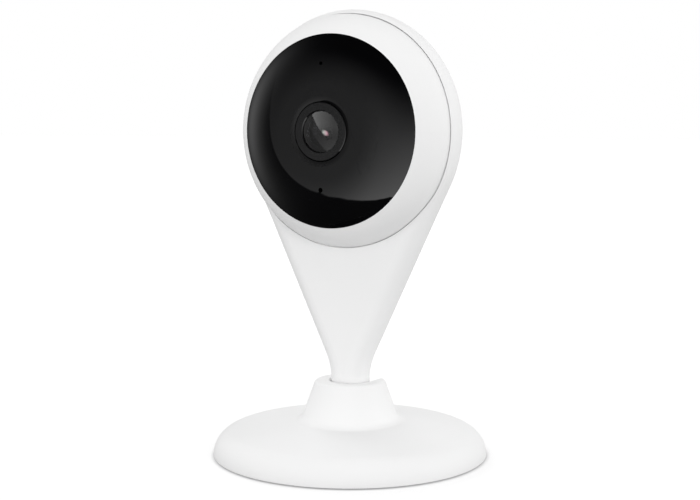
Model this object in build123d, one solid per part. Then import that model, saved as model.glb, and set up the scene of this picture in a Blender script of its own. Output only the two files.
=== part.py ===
from build123d import *
from math import asin, cos, hypot, radians, sin, sqrt, tan
import os

# Sizes in millimetres. The origin is the centre of the foot, +Z is up and the lens looks along -Y.

# Overall
total_height = 114.6
base_radius = 35.6
head_radius = 30.8

# Clearances
slide_gap = 0.05
pin_gap = 0.03
cover_gap = 0.3
swing_gap = 0.6
seam_gap = 0.06

# Base: a shallow dome with a rounded edge and a cone-shaped collar
foot_height = 0.35
foot_inset = 1.2
edge_radius = 6.25
dome_radius = 160.0
base_wall = 1.8
bottom_thickness = 1.5
collar_top_z = 19.3
collar_top_radius = 9.07
collar_taper = 0.358
collar_foot_fillet = 2.6
collar_top_fillet = 1.1
cover_screw_margin = 2.5
cover_boss_radius = 2.1
cover_boss_height = 2.4
weight_clearance = 0.4
weight_thickness = 2.5

# Tilt hinge inside the collar
hinge_y = 0.3
hinge_z = 14.6
pin_radius = 1.5
pin_head_radius = 1.9
pin_head_length = 0.6
hub_radius = 3.6
hub_half_width = 4.6
washer_radius = 2.7
washer_thickness = 0.9
ear_thickness = 1.5
ear_top_radius = 2.6
ear_foot_half_depth = 4.4
bracket_radius = 16.8
bracket_thickness = 1.6
bracket_low_z = 4.2
bracket_screw_margin = 2.6
bracket_boss_radius = 2.4
slot_flare = 0.08
lip_round = 0.45

# Drop-shaped body
body_mid_y = hinge_y
body_half_depth = 4.7
body_edge_radius = 4.4
body_wall = 1.7
neck_half_width = 4.9
neck_blend = 16.0
taper_angle = 25.7
neck_end_gap = 0.25
anchor_length = 23.5
anchor_width = 12.0
neck_screw_rise = 12.5
neck_screw_pitch = 7.5
parting_y = 2.8
puck_radius = 26.0
back_y = 10.0
puck_edge_radius = 3.0
puck_foot_radius = 1.2

# Bezel and front window
seam_inset = 1.3
bezel_seam_y = -4.3
bezel_shoulder_radius = 2.0
seam_groove_width = 0.22
seam_groove_depth = 0.4
bezel_mid_drop = 1.4
bezel_mid_y = -7.1
bezel_wall = 1.6
bezel_skirt_y = 0.6
window_radius = 24.15
window_rim_y = -11.2
window_front_y = -15.1
window_flat_radius = 12.0
window_flat_handle = 6.0
window_rim_handle = 3.5
window_rim_angle = 45.7
window_wall = 1.8
window_hollow_radius = 16.7
window_hollow_drop = 2.38
ledge_front_y = -9.2
ledge_thickness = 1.2
ledge_inner_radius = 19.6
seal_thickness = 0.2
seal_width = 2.15
countersink_radius = 8.7
countersink_depth = 0.12
upper_pinhole_z = 16.7
upper_pinhole_radius = 0.45
lower_pinhole_z = -14.4
lower_pinhole_radius = 0.6

# Lens
lens_ring_radius = 7.25
lens_ring_front_y = -15.2
lens_ring_length = 2.3
lens_ring_edge = 0.15
lens_groove = 0.2
lens_lip_radius = 5.1
lens_lip_edge = 0.2
lens_lip_depth = 1.3
front_glass_radius = 5.6
front_glass_thickness = 0.9
front_glass_bulge = 0.55
front_glass_hollow_radius = 3.8
front_glass_hollow = 0.5
barrel_head_length = 2.7
barrel_radius = 6.0
barrel_rear_y = -4.7
barrel_bore_radius = 4.7
barrel_rear_lip = 0.6
barrel_rear_hole = 3.4
element_setback = 0.8
front_element_thickness = 1.2
front_element_hollow = 0.25
front_spacer_length = 1.6
middle_element_thickness = 1.4
middle_element_bulge = 0.3
rear_element_thickness = 1.2
rear_element_bulge = 0.15
rear_spacer_length = 0.2
element_rim = 0.6
spacer_wall = 0.5
holder_half_size = 8.5
holder_wall = 1.2
holder_depth = 5.0
lug_offset = 2.0
lug_width = 4.4
lug_depth = 3.0
lug_clearance = 0.8
tube_radius = 7.4
tube_front_y = -9.0

# Boards
board_front_y = -0.4
board_thickness = 1.2
board_radius = 23.0
led_board_radius = 17.6
led_board_hole_radius = 8.2
led_board_thickness = 1.0
led_ear_circle_radius = 21.2
led_ear_size = 5.0
led_circle_radius = 13.6
led_size = 2.8
led_height = 1.6
led_count = 8
post_circle_radius = 20.5
post_radius = 2.4
standoff_radius = 2.2
standoff_end_y = board_front_y + board_thickness

# Fasteners
small_shank = 0.8
small_head = 1.5
small_head_height = 0.9
large_shank = 1.0
large_head = 1.9
large_head_height = 1.2

# Rear fittings, placed from the head centre
speaker_z = 8.5
speaker_radius = 8.5
speaker_height = 4.2
gasket_thickness = 1.0
gasket_width = 1.6
grille_hole_radius = 0.55
grille_pitch = 2.0
grille_rings = 3
socket_z = -17.0
socket_width = 7.6
socket_height = 2.9
socket_wall = 0.35
button_x = 8.0
button_z = -17.0
button_radius = 2.2
button_flange = 0.6
button_travel = 0.5
button_proud = 0.7
card_z = 2.5
card_slot_width = 12.0
card_slot_front_y = 1.4
card_socket_length = 13.6
card_socket_width = 13.4
card_socket_height = 1.9
card_socket_recess = 1.8
filter_travel = 4.5
can_width = 17.0
can_length = 11.0
can_height = 2.2
can_sheet = 0.3
can_z = -7.4
processor_size = 9.0
processor_height = 1.1
processor_x = -2.0
pad_size = 8.0
flash_width = 6.0
flash_length = 5.0
flash_height = 0.9
flash_x = 1.0
flash_z = 6.5
radio_width = 8.0
radio_length = 9.0
radio_height = 1.9
radio_x = 16.8
radio_z = -1.2
antenna_width = 9.0
antenna_length = 3.6
antenna_height = 3.4
antenna_sheet = 0.4
antenna_x = 15.4
antenna_z = 5.4
board_screw_reach = 3.4
board_screw_spare = 0.6
board_tab_width = 14.0
board_tab_reach = 2.5

# Derived sizes
head_z = total_height - head_radius
bezel_radius = head_radius - seam_inset
bezel_mid_radius = bezel_radius - bezel_mid_drop
bezel_inner = bezel_radius - bezel_wall
neck_end_z = hinge_z + hub_radius + neck_end_gap
board_back_y = board_front_y + board_thickness
cover_inner_y = back_y - body_wall
hollow_edge = window_radius - seal_width
window_back_y = ledge_front_y - seal_thickness
ledge_back_y = ledge_front_y + ledge_thickness
led_front_y = ledge_back_y
led_back_y = led_front_y + led_board_thickness
bottom_top_z = foot_height + bottom_thickness
slot_radius = neck_half_width + swing_gap
lens_ring_back_y = lens_ring_front_y + lens_ring_length
barrel_head_back_y = lens_ring_back_y + barrel_head_length
holder_front_y = board_front_y - holder_depth
window_inner_y = window_front_y + window_wall
window_hole_radius = lens_ring_radius + lens_groove
ear_inner_x = hub_half_width + washer_thickness + 2 * slide_gap
ear_outer_x = ear_inner_x + ear_thickness
dome_apex_drop = sqrt((dome_radius - edge_radius) ** 2 - (base_radius - edge_radius) ** 2)
dome_centre_z = foot_height - dome_apex_drop
bracket_screw_circle = bracket_radius - bracket_screw_margin
cover_screw_circle = base_radius - base_wall - cover_screw_margin
weight_outer_radius = cover_screw_circle - cover_boss_radius - weight_clearance
weight_inner_radius = bracket_radius + 4 * weight_clearance
lug_screw_x = holder_half_size + lug_offset
lug_drop = card_socket_width / 2 - card_z + small_head + lug_clearance
lug_points = ((lug_screw_x, 0.0), (-lug_screw_x, -lug_drop))
card_socket_x = card_socket_recess + card_socket_length / 2 - bezel_inner
far = 200.0


def along_y(radius, y_from, y_to, x=0.0, z=0.0):
    """A round bar along Y, placed from the head centre."""
    bar = Cylinder(radius, y_to - y_from, rotation=(90, 0, 0))
    return Pos(x, (y_from + y_to) / 2, head_z + z) * bar


def along_z(radius, z_from, z_to, x=0.0, y=0.0):
    """A round upright bar."""
    return Pos(x, y, (z_from + z_to) / 2) * Cylinder(radius, z_to - z_from)


def along_x(radius, x_from, x_to, y=0.0, z=0.0):
    """A round bar along X."""
    bar = Cylinder(radius, x_to - x_from, rotation=(0, 90, 0))
    return Pos((x_from + x_to) / 2, y, z) * bar


def plate(x_size, z_size, y_from, y_to, x=0.0, z=0.0):
    """A block placed from the head centre."""
    return Pos(x, (y_from + y_to) / 2, head_z + z) * Box(x_size, y_to - y_from, z_size)


def around(radius, count, start=0.0):
    """Points spread evenly on a circle."""
    points = []
    for index in range(count):
        angle = radians(start + 360 * index / count)
        points.append((radius * cos(angle), radius * sin(angle)))
    return points


def turned_on_lens_axis(edges):
    """A turned piece whose profile gives radius and depth."""
    face = make_face(edges)
    return Pos(0, 0, head_z) * revolve(face, Axis.Y, 360)


def closed_profile(points):
    """Straight edges through all points and back to the first."""
    return Polyline(*points, close=True).edges()


def cap_arc(clear, rim_y, rise):
    """A ball-shaped arc from the lens axis out to a rim; the rise is its depth change at the axis."""
    ball = (clear**2 + rise**2) / (2 * abs(rise))
    sign = 1 if rise > 0 else -1
    middle = rim_y + rise - sign * (ball - sqrt(ball**2 - (clear / 2) ** 2))
    return ThreePointArc((0, rim_y + rise), (clear / 2, middle), (clear, rim_y))


def group(pieces):
    """Several separate solids kept as one node."""
    solids = []
    for piece in pieces:
        solids.extend(piece.solids())
    return Compound(solids)


def save(name, shape):
    """Writes one node."""
    os.makedirs("parts", exist_ok=True)
    export_step(shape, f"parts/{name}.step")


def dome_height(radius, inset=0.0):
    """Height of the dome surface at a radius."""
    return dome_centre_z + sqrt((dome_radius - inset) ** 2 - radius**2)


def collar_radius(z, inset=0.0):
    """Radius of the collar's cone at a height."""
    outer = collar_top_radius + collar_taper * (collar_top_z - z)
    return outer - inset * hypot(1, collar_taper)


def base_volume(inset):
    """The turned outline of the base, moved inward by a wall."""
    rim = base_radius - edge_radius
    reach = (dome_radius - inset) / (dome_radius - edge_radius)
    tangent = (rim * reach, dome_centre_z + (foot_height - dome_centre_z) * reach)
    round_size = edge_radius - inset
    bisect = hypot(tangent[0] - rim + round_size, tangent[1] - foot_height)
    edge_mid = (
        rim + round_size * (tangent[0] - rim + round_size) / bisect,
        foot_height + round_size * (tangent[1] - foot_height) / bisect,
    )
    top_z = collar_top_z - inset
    foot_z = foot_height + edge_radius
    for _ in range(20):
        foot_z = dome_height(collar_radius(foot_z, inset), inset)
    foot = (collar_radius(foot_z, inset), foot_z)
    dome_mid_radius = (tangent[0] + foot[0]) / 2
    dome_mid = (dome_mid_radius, dome_height(dome_mid_radius, inset))
    edges = [
        Line((0, foot_height), (rim + round_size, foot_height)),
        ThreePointArc((rim + round_size, foot_height), edge_mid, tangent),
        ThreePointArc(tangent, dome_mid, foot),
        Line(foot, (collar_radius(top_z, inset), top_z)),
        Line((collar_radius(top_z, inset), top_z), (0, top_z)),
        Line((0, top_z), (0, foot_height)),
    ]
    face = make_face(edges)
    corners = face.vertices()
    foot_corner = corners.sort_by_distance((foot[0], foot[1], 0))[0]
    face = fillet(foot_corner, collar_foot_fillet + inset)
    if inset == 0:
        rim_corner = face.vertices().sort_by_distance((collar_radius(top_z), top_z, 0))[0]
        face = fillet(rim_corner, collar_top_fillet)
    upright = Plane.XZ * face
    return revolve(upright, Axis.Z, 360)


def teardrop(inset, low_z):
    """The drop-shaped body, moved inward by a wall."""
    angle = radians(taper_angle)
    radius = head_radius - inset
    neck = neck_half_width - inset
    touch = (radius * cos(angle), head_z - radius * sin(angle))
    corner_z = touch[1] - (touch[0] - neck) / tan(angle)
    blend = neck_blend + inset
    length = blend * tan(angle / 2)
    centre = (neck + blend, corner_z - length)
    start = (centre[0] - blend * cos(angle), centre[1] + blend * sin(angle))
    middle = (centre[0] - blend * cos(angle / 2), centre[1] + blend * sin(angle / 2))
    edges = [Line((-neck, low_z), (neck, low_z))]
    for side in (1, -1):
        edges.append(Line((side * neck, low_z), (side * neck, centre[1])))
        edges.append(
            ThreePointArc(
                (side * neck, centre[1]),
                (side * middle[0], middle[1]),
                (side * start[0], start[1]),
            )
        )
        edges.append(Line((side * start[0], start[1]), (side * touch[0], touch[1])))
    edges.append(ThreePointArc(touch, (0, head_z + radius), (-touch[0], touch[1])))
    face = Plane.XZ * make_face(edges)
    body = extrude(face, body_half_depth - inset, both=True)
    ends = body.faces().sort_by(Axis.Y)
    rims = ends[0].edges() + ends[-1].edges()
    rims = [edge for edge in rims if edge.center().Z > low_z + 0.01]
    return Pos(0, body_mid_y, 0) * fillet(rims, body_edge_radius - inset)


def screw_up(x, y, head_low_z, tip_z, shank, head, head_height):
    """A screw driven upward from below."""
    cap = along_z(head, head_low_z, head_low_z + head_height, x, y)
    return cap + along_z(shank, head_low_z + head_height, tip_z, x, y)


def screw_forward(x, z, head_back_y, tip_y, shank, head, head_height):
    """A screw driven from the back toward the front."""
    cap = along_y(head, head_back_y - head_height, head_back_y, x, z)
    return cap + along_y(shank, tip_y, head_back_y - head_height, x, z)


def screw_backward(x, z, head_front_y, tip_y, shank, head, head_height):
    """A screw driven from the front toward the back."""
    cap = along_y(head, head_front_y, head_front_y + head_height, x, z)
    return cap + along_y(shank, head_front_y + head_height, tip_y, x, z)


# Base shell with its collar, slot and bosses
base_outer = base_volume(0)
base_inner = base_volume(base_wall)
bracket_top_z = bracket_low_z + bracket_thickness
bracket_points = around(bracket_screw_circle, 3, 30)
cover_points = around(cover_screw_circle, 3, 90)
boss_top_z = dome_height(bracket_screw_circle, base_wall / 2)
fill_y = hinge_y + ear_foot_half_depth + swing_gap
fill_z = bracket_top_z + cover_gap
collar_fill = along_z(collar_radius(fill_z), fill_z, collar_top_z)
collar_fill &= Pos(0, fill_y + far / 2, 0) * Box(far, far, far)
base_shell = base_outer - base_inner + (collar_fill & base_outer)
for x, y in bracket_points:
    base_shell += along_z(bracket_boss_radius, bracket_top_z, boss_top_z, x, y)
for x, y in cover_points:
    base_shell += along_z(cover_boss_radius, bottom_top_z, bottom_top_z + cover_boss_height, x, y)
slot_floor_z = hinge_z - body_half_depth - swing_gap
slot_reach = collar_radius(slot_floor_z) + collar_foot_fillet
slot_end_radius = slot_radius + slot_flare * slot_reach
slot_lean = asin(slot_flare)
slot_end_y = hinge_y + slot_reach
near_x = slot_radius * cos(slot_lean)
near_y = hinge_y - slot_radius * sin(slot_lean)
end_x = slot_end_radius * cos(slot_lean)
end_y = slot_end_y - slot_end_radius * sin(slot_lean)
slot_face = make_face(
    [
        ThreePointArc((-near_x, near_y), (0, hinge_y - slot_radius), (near_x, near_y)),
        Line((near_x, near_y), (end_x, end_y)),
        ThreePointArc((end_x, end_y), (0, slot_end_y + slot_end_radius), (-end_x, end_y)),
        Line((-end_x, end_y), (-near_x, near_y)),
    ]
)
slot_mouth = Pos(0, 0, hinge_z) * extrude(slot_face, collar_top_z - hinge_z)
slot_mouth += Pos(0, 0, collar_top_z + base_radius / 2) * Box(3 * base_radius, 3 * base_radius, base_radius)
mouth_edges = slot_mouth.edges().filter_by_position(Axis.Z, collar_top_z - 0.01, collar_top_z + 0.01)
mouth_edges = [edge for edge in mouth_edges if abs(edge.center().X) < base_radius]
mouth_edges = [edge for edge in mouth_edges if abs(edge.center().Y) < base_radius]
slot_mouth = fillet(mouth_edges, lip_round)
slot_back = Pos(0, 0, slot_floor_z) * extrude(slot_face, collar_top_z - slot_floor_z)
slot_back &= Pos(0, hinge_y + far / 2, 0) * Box(far, far, far)
base_shell = base_shell - slot_mouth - slot_back
for x, y in bracket_points:
    base_shell -= along_z(large_shank - slide_gap, bracket_low_z, boss_top_z + 0.3, x, y)
for x, y in cover_points:
    base_shell -= along_z(small_shank - slide_gap, foot_height, bottom_top_z + cover_boss_height, x, y)
save("base_shell", base_shell)

# Bottom cover, weight and foot
bottom_radius = base_radius - base_wall - cover_gap
base_bottom = along_z(bottom_radius, foot_height, bottom_top_z)
for x, y in cover_points:
    base_bottom -= along_z(small_shank + 0.2, foot_height - 1, bottom_top_z + 1, x, y)
    base_bottom -= along_z(small_head + 0.2, foot_height - 1, foot_height + small_head_height, x, y)
save("base_bottom", base_bottom)
weight_top_z = bottom_top_z + weight_thickness
base_weight = along_z(weight_outer_radius, bottom_top_z, weight_top_z)
base_weight -= along_z(weight_inner_radius, bottom_top_z - 1, weight_top_z + 1)
save("base_weight", base_weight)
foot_pad = along_z(base_radius - foot_inset, 0, foot_height)
save("foot_pad", foot_pad)
base_screws = []
for x, y in cover_points:
    tip_z = bottom_top_z + cover_boss_height - 0.2
    base_screws.append(
        screw_up(x, y, foot_height, tip_z, small_shank - slide_gap, small_head, small_head_height)
    )
save("base_screws", group(base_screws))

# Hinge bracket with two ears, screwed up into the base shell
hinge_bracket = along_z(bracket_radius, bracket_low_z, bracket_top_z)
for x, y in bracket_points:
    hinge_bracket -= along_z(large_shank + 0.2, bracket_low_z - 1, bracket_top_z + 1, x, y)
for side in (1, -1):
    ear_face = make_face(
        [
            Line((-ear_foot_half_depth, bracket_top_z), (ear_foot_half_depth, bracket_top_z)),
            Line((ear_foot_half_depth, bracket_top_z), (ear_top_radius, hinge_z)),
            ThreePointArc(
                (ear_top_radius, hinge_z), (0, hinge_z + ear_top_radius), (-ear_top_radius, hinge_z)
            ),
            Line((-ear_top_radius, hinge_z), (-ear_foot_half_depth, bracket_top_z)),
        ]
    )
    ear = extrude(Plane.YZ * ear_face, ear_thickness)
    ear_x = ear_inner_x if side > 0 else -ear_outer_x
    hinge_bracket += Pos(ear_x, hinge_y, 0) * ear
hinge_bracket -= along_x(pin_radius + pin_gap, -far, far, hinge_y, hinge_z)
save("hinge_bracket", hinge_bracket)
bracket_screws = []
for x, y in bracket_points:
    tip_z = boss_top_z + 0.1
    head_z_low = bracket_low_z - large_head_height
    bracket_screws.append(
        screw_up(x, y, head_z_low, tip_z, large_shank - slide_gap, large_head, large_head_height)
    )
save("bracket_screws", group(bracket_screws))
pin_end_x = ear_outer_x + slide_gap + pin_head_length
hinge_pin = along_x(pin_radius, -pin_end_x, ear_outer_x + slide_gap, hinge_y, hinge_z)
hinge_pin += along_x(pin_head_radius, ear_outer_x + slide_gap, pin_end_x, hinge_y, hinge_z)
save("hinge_pin", hinge_pin)
pin_clip = along_x(pin_head_radius, -pin_end_x + 0.15, -ear_outer_x - slide_gap, hinge_y, hinge_z)
pin_clip -= along_x(pin_radius, -far, far, hinge_y, hinge_z)
save("pin_clip", pin_clip)
friction_washers = []
for side in (1, -1):
    start_x = hub_half_width + slide_gap
    ends = sorted((side * start_x, side * (start_x + washer_thickness)))
    washer = along_x(washer_radius, ends[0], ends[1], hinge_y, hinge_z)
    friction_washers.append(washer - along_x(pin_radius + 2 * pin_gap, -far, far, hinge_y, hinge_z))
save("friction_washers", group(friction_washers))

# Drop-shaped body: front shell, rear cover and the knuckle anchored in the neck
body_outer = teardrop(0, hinge_z - 4)
body_cavity = teardrop(body_wall, hinge_z - 8)
below_neck = Pos(0, 0, neck_end_z - far / 2) * Box(far, far, far)
front_half = Pos(0, parting_y - far / 2, head_z) * Box(far, far, 2 * far)
body_wall_solid = body_outer - body_cavity - below_neck
bezel_bore = along_y(bezel_radius + seam_gap, -far / 2, parting_y + 1)
bore_in_front = bezel_bore & front_half
body_shell = (body_wall_solid & front_half) - bore_in_front
body_skin = body_outer - teardrop(seam_groove_depth, hinge_z - 6)
groove_ring = along_y(bezel_radius + seam_groove_width, -far / 2, parting_y - 1) & body_skin
body_shell -= groove_ring
card_notch = plate(6.0, card_slot_width, card_slot_front_y, parting_y + 1, -head_radius, card_z)
body_shell -= card_notch
save("body_shell", body_shell)

post_points = around(post_circle_radius, 4, 45)
standoff_points = around(post_circle_radius, 3, 90)
neck_screw_low_z = neck_end_z + neck_screw_rise - head_z
neck_screw_z = (neck_screw_low_z, neck_screw_low_z + neck_screw_pitch)
post_end_y = cover_inner_y - 2.0
standoff_hole_y = standoff_end_y + board_screw_reach + board_screw_spare
puck = along_y(puck_radius, parting_y, back_y)
puck = fillet(puck.edges().sort_by(Axis.Y)[-1], puck_edge_radius)
rear_cover = (body_wall_solid - front_half) + puck
back_face_y = body_mid_y + body_half_depth
foot_edges = rear_cover.edges().filter_by_position(Axis.Y, back_face_y - 0.01, back_face_y + 0.01)
foot_edges = [edge for edge in foot_edges if edge.geom_type == GeomType.CIRCLE]
foot_edges = [edge for edge in foot_edges if abs(edge.radius - puck_radius) < 0.01]
rear_cover = fillet(foot_edges, puck_foot_radius)
rear_cover -= along_y(puck_radius - body_wall, parting_y - 1, cover_inner_y)
speaker_wall = along_y(speaker_radius + 1.3, cover_inner_y - 3.0, cover_inner_y, 0, speaker_z)
speaker_wall -= along_y(speaker_radius + 0.15, parting_y, cover_inner_y, 0, speaker_z)
rear_cover += speaker_wall
for x, z in post_points:
    rear_cover += along_y(post_radius + 0.3, post_end_y, cover_inner_y, x, z)
for x, z in standoff_points:
    rear_cover += along_y(standoff_radius, standoff_end_y, cover_inner_y, x, z)
for x, z in post_points:
    rear_cover -= along_y(large_shank + 0.2, post_end_y - 1, back_y + 1, x, z)
    rear_cover -= along_y(large_head + 0.2, back_y - large_head_height - 0.4, back_y + 1, x, z)
for x, z in standoff_points:
    rear_cover -= along_y(small_shank - slide_gap, standoff_end_y - 1, standoff_hole_y, x, z)
for z in neck_screw_z:
    rear_cover -= along_y(small_shank + 0.2, parting_y - 1, back_y, 0, z)
    rear_cover -= along_y(small_head + 0.2, back_face_y - small_head_height, back_y, 0, z)
grille_points = [(0.0, 0.0)]
for ring in range(1, grille_rings + 1):
    grille_points.extend(around(grille_pitch * ring, 6 * ring))
grille = [
    along_y(grille_hole_radius, cover_inner_y - 0.5, back_y + 1, x, speaker_z + z) for x, z in grille_points
]
rear_cover -= grille
rear_cover -= plate(socket_width + 0.4, socket_height + 0.4, cover_inner_y - 1, back_y + 1, 0, socket_z)
rear_cover -= along_y(button_radius + 0.15, cover_inner_y - 1, back_y + 1, button_x, button_z)
save("rear_cover", rear_cover)

knuckle_core = teardrop(body_wall + 0.2, hinge_z - 8)
anchor_room = Pos(0, 0, neck_end_z + anchor_length / 2) * Box(anchor_width, far, anchor_length)
hinge_knuckle = knuckle_core & anchor_room
hinge_knuckle += along_x(hub_radius, -hub_half_width, hub_half_width, hinge_y, hinge_z)
hinge_knuckle += along_z(2.8, hinge_z, neck_end_z + 1, 0, hinge_y)
hinge_knuckle -= along_x(pin_radius + pin_gap, -far, far, hinge_y, hinge_z)
for z in neck_screw_z:
    hinge_knuckle -= along_y(small_shank - slide_gap, -far, far, 0, z)
save("hinge_knuckle", hinge_knuckle)
neck_screws = []
for z in neck_screw_z:
    tip_y = body_mid_y - 2.4
    neck_screws.append(
        screw_forward(0, z, back_face_y, tip_y, small_shank - slide_gap, small_head, small_head_height)
    )
save("neck_screws", group(neck_screws))
housing_screws = []
for x, z in post_points:
    head_back_y = back_y - 0.4
    housing_screws.append(
        screw_forward(x, z, head_back_y, -2.0, large_shank - slide_gap, large_head, large_head_height)
    )
save("housing_screws", group(housing_screws))

# Bezel ring with the posts that the rear cover is screwed to
window_pocket = window_radius + seam_gap / 2
bezel_edges = [
    Line((bezel_radius, bezel_skirt_y), (bezel_radius, bezel_seam_y)),
    ThreePointArc(
        (bezel_radius, bezel_seam_y), (bezel_mid_radius, bezel_mid_y), (window_pocket, window_rim_y)
    ),
    Polyline(
        (window_pocket, window_rim_y),
        (window_pocket, ledge_front_y),
        (ledge_inner_radius, ledge_front_y),
        (ledge_inner_radius, ledge_back_y),
        (window_radius + 0.4, ledge_back_y),
        (bezel_inner - 1.4, bezel_mid_y + 1.6),
        (bezel_inner, bezel_seam_y),
        (bezel_inner, bezel_skirt_y),
        (bezel_radius, bezel_skirt_y),
    ),
]
bezel_wires = []
for edge in bezel_edges:
    bezel_wires.extend(edge.edges())
bezel_face = make_face(bezel_wires)
shoulder = bezel_face.vertices().sort_by_distance((bezel_radius, bezel_seam_y, 0))[0]
bezel_face = fillet(shoulder, bezel_shoulder_radius)
front_bezel = Pos(0, 0, head_z) * revolve(bezel_face, Axis.Y, 360)
for x, z in post_points:
    front_bezel += along_y(post_radius, ledge_front_y + 0.2, post_end_y, x, z)
for x, z in post_points:
    front_bezel -= along_y(large_shank - slide_gap, -2.4, post_end_y + 1, x, z)
led_ear_points = around(led_ear_circle_radius, 4, 0)
for x, z in led_ear_points:
    front_bezel -= along_y(small_shank - slide_gap, ledge_front_y + 0.3, ledge_back_y + 1, x, z)
save("front_bezel", front_bezel)
window_seal = along_y(window_radius - 0.2, window_back_y, ledge_front_y)
window_seal -= along_y(hollow_edge, window_back_y - 1, ledge_front_y + 1)
save("window_seal", window_seal)

# Black front window: flat face that rounds off to the rim, lens hole and two pinholes
rim_slope = radians(window_rim_angle)
rim_control_radius = window_radius - window_rim_handle * cos(rim_slope)
rim_control_y = window_rim_y - window_rim_handle * sin(rim_slope)
hollow_mid = (window_hollow_radius + hollow_edge) / 2
hollow_run = hollow_edge - window_hollow_radius
hollow_round = (hollow_run**2 + window_hollow_drop**2) / (2 * window_hollow_drop)
sink_run = countersink_radius - window_hole_radius
sink_round = (sink_run**2 + countersink_depth**2) / (2 * countersink_depth)
sink_mid_y = window_front_y + sink_round - sqrt(sink_round**2 - (sink_run / 2) ** 2)


def hollow_y(radius):
    """Depth of the window's inner face at a radius."""
    return window_inner_y + hollow_round - sqrt(hollow_round**2 - (radius - window_hollow_radius) ** 2)


window_edges = [
    Line((window_radius, window_back_y), (window_radius, window_rim_y)),
    Bezier(
        (window_radius, window_rim_y),
        (rim_control_radius, rim_control_y),
        (window_flat_radius + window_flat_handle, window_front_y),
        (window_flat_radius, window_front_y),
    ),
    Line((window_flat_radius, window_front_y), (countersink_radius, window_front_y)),
    ThreePointArc(
        (countersink_radius, window_front_y),
        (countersink_radius - sink_run / 2, sink_mid_y),
        (window_hole_radius, window_front_y + countersink_depth),
    ),
    Line((window_hole_radius, window_front_y + countersink_depth), (window_hole_radius, window_inner_y)),
    Line((window_hole_radius, window_inner_y), (window_hollow_radius, window_inner_y)),
    ThreePointArc(
        (window_hollow_radius, window_inner_y),
        (hollow_mid, hollow_y(hollow_mid)),
        (hollow_edge, hollow_y(hollow_edge)),
    ),
    Line((hollow_edge, hollow_y(hollow_edge)), (hollow_edge, window_back_y)),
    Line((hollow_edge, window_back_y), (window_radius, window_back_y)),
]
front_window = turned_on_lens_axis(window_edges)
front_window -= along_y(upper_pinhole_radius, -far / 2, window_inner_y + 1, 0, upper_pinhole_z)
front_window -= along_y(lower_pinhole_radius, -far / 2, window_inner_y + 1, 0, lower_pinhole_z)
save("front_window", front_window)

# Lens: trim ring, front glass, barrel, inner elements and spacers
lip_back_y = lens_ring_front_y + lens_lip_depth
ring_points = [
    (lens_ring_radius - lens_ring_edge, lens_ring_front_y),
    (lens_lip_radius + lens_lip_edge, lens_ring_front_y),
    (lens_lip_radius, lens_ring_front_y + lens_lip_edge),
    (lens_lip_radius, lip_back_y),
    (front_glass_radius + slide_gap, lip_back_y),
    (front_glass_radius + slide_gap, lens_ring_back_y),
    (lens_ring_radius, lens_ring_back_y),
    (lens_ring_radius, lens_ring_front_y + lens_ring_edge),
]
save("lens_ring", turned_on_lens_axis(closed_profile(ring_points)))
glass_edge_y = lip_back_y + slide_gap
glass_back_y = glass_edge_y + front_glass_thickness
glass_clear = lens_lip_radius - 0.1
glass_edges = [
    cap_arc(glass_clear, lip_back_y, -front_glass_bulge),
    Line((glass_clear, lip_back_y), (glass_clear, glass_edge_y)),
    Line((glass_clear, glass_edge_y), (front_glass_radius, glass_edge_y)),
    Line((front_glass_radius, glass_edge_y), (front_glass_radius, glass_back_y)),
    Line((front_glass_radius, glass_back_y), (front_glass_hollow_radius, glass_back_y)),
    cap_arc(front_glass_hollow_radius, glass_back_y, -front_glass_hollow),
    Line((0, glass_back_y - front_glass_hollow), (0, lip_back_y - front_glass_bulge)),
]
save("lens_front_glass", turned_on_lens_axis(glass_edges))
barrel_points = [
    (barrel_bore_radius, lens_ring_back_y),
    (lens_ring_radius, lens_ring_back_y),
    (lens_ring_radius, barrel_head_back_y),
    (barrel_radius, barrel_head_back_y),
    (barrel_radius, barrel_rear_y),
    (barrel_rear_hole, barrel_rear_y),
    (barrel_rear_hole, barrel_rear_y - barrel_rear_lip),
    (barrel_bore_radius, barrel_rear_y - barrel_rear_lip),
]
save("lens_barrel", turned_on_lens_axis(closed_profile(barrel_points)))


def lens_element(y_front, y_back, front_bulge, back_bulge):
    """A round element; a positive bulge stands out and a negative one is hollow."""
    radius = barrel_bore_radius - slide_gap
    clear = radius - element_rim
    edges = [
        cap_arc(clear, y_front, -front_bulge),
        Line((clear, y_front), (radius, y_front)),
        Line((radius, y_front), (radius, y_back)),
        Line((radius, y_back), (clear, y_back)),
        cap_arc(clear, y_back, back_bulge),
        Line((0, y_back + back_bulge), (0, y_front - front_bulge)),
    ]
    return turned_on_lens_axis(edges)


front_element_y = lens_ring_back_y + element_setback
front_element_end_y = front_element_y + front_element_thickness
middle_element_y = front_element_end_y + front_spacer_length
middle_element_end_y = middle_element_y + middle_element_thickness
stack_end_y = barrel_rear_y - barrel_rear_lip
rear_element_end_y = stack_end_y - rear_spacer_length
rear_element_y = rear_element_end_y - rear_element_thickness
elements = [
    lens_element(front_element_y, front_element_end_y, -front_element_hollow, -front_element_hollow),
    lens_element(middle_element_y, middle_element_end_y, middle_element_bulge, middle_element_bulge),
    lens_element(rear_element_y, rear_element_end_y, middle_element_bulge, rear_element_bulge),
]
save("lens_elements", group(elements))


def spacer(y_front, y_back):
    """A thin ring that keeps two elements apart."""
    ring = along_y(barrel_bore_radius - slide_gap, y_front, y_back)
    return ring - along_y(barrel_bore_radius - slide_gap - spacer_wall, y_front - 1, y_back + 1)


spacers = [
    spacer(front_element_end_y, middle_element_y),
    spacer(middle_element_end_y, rear_element_y),
    spacer(rear_element_end_y, stack_end_y),
]
save("lens_spacers", group(spacers))

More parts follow.
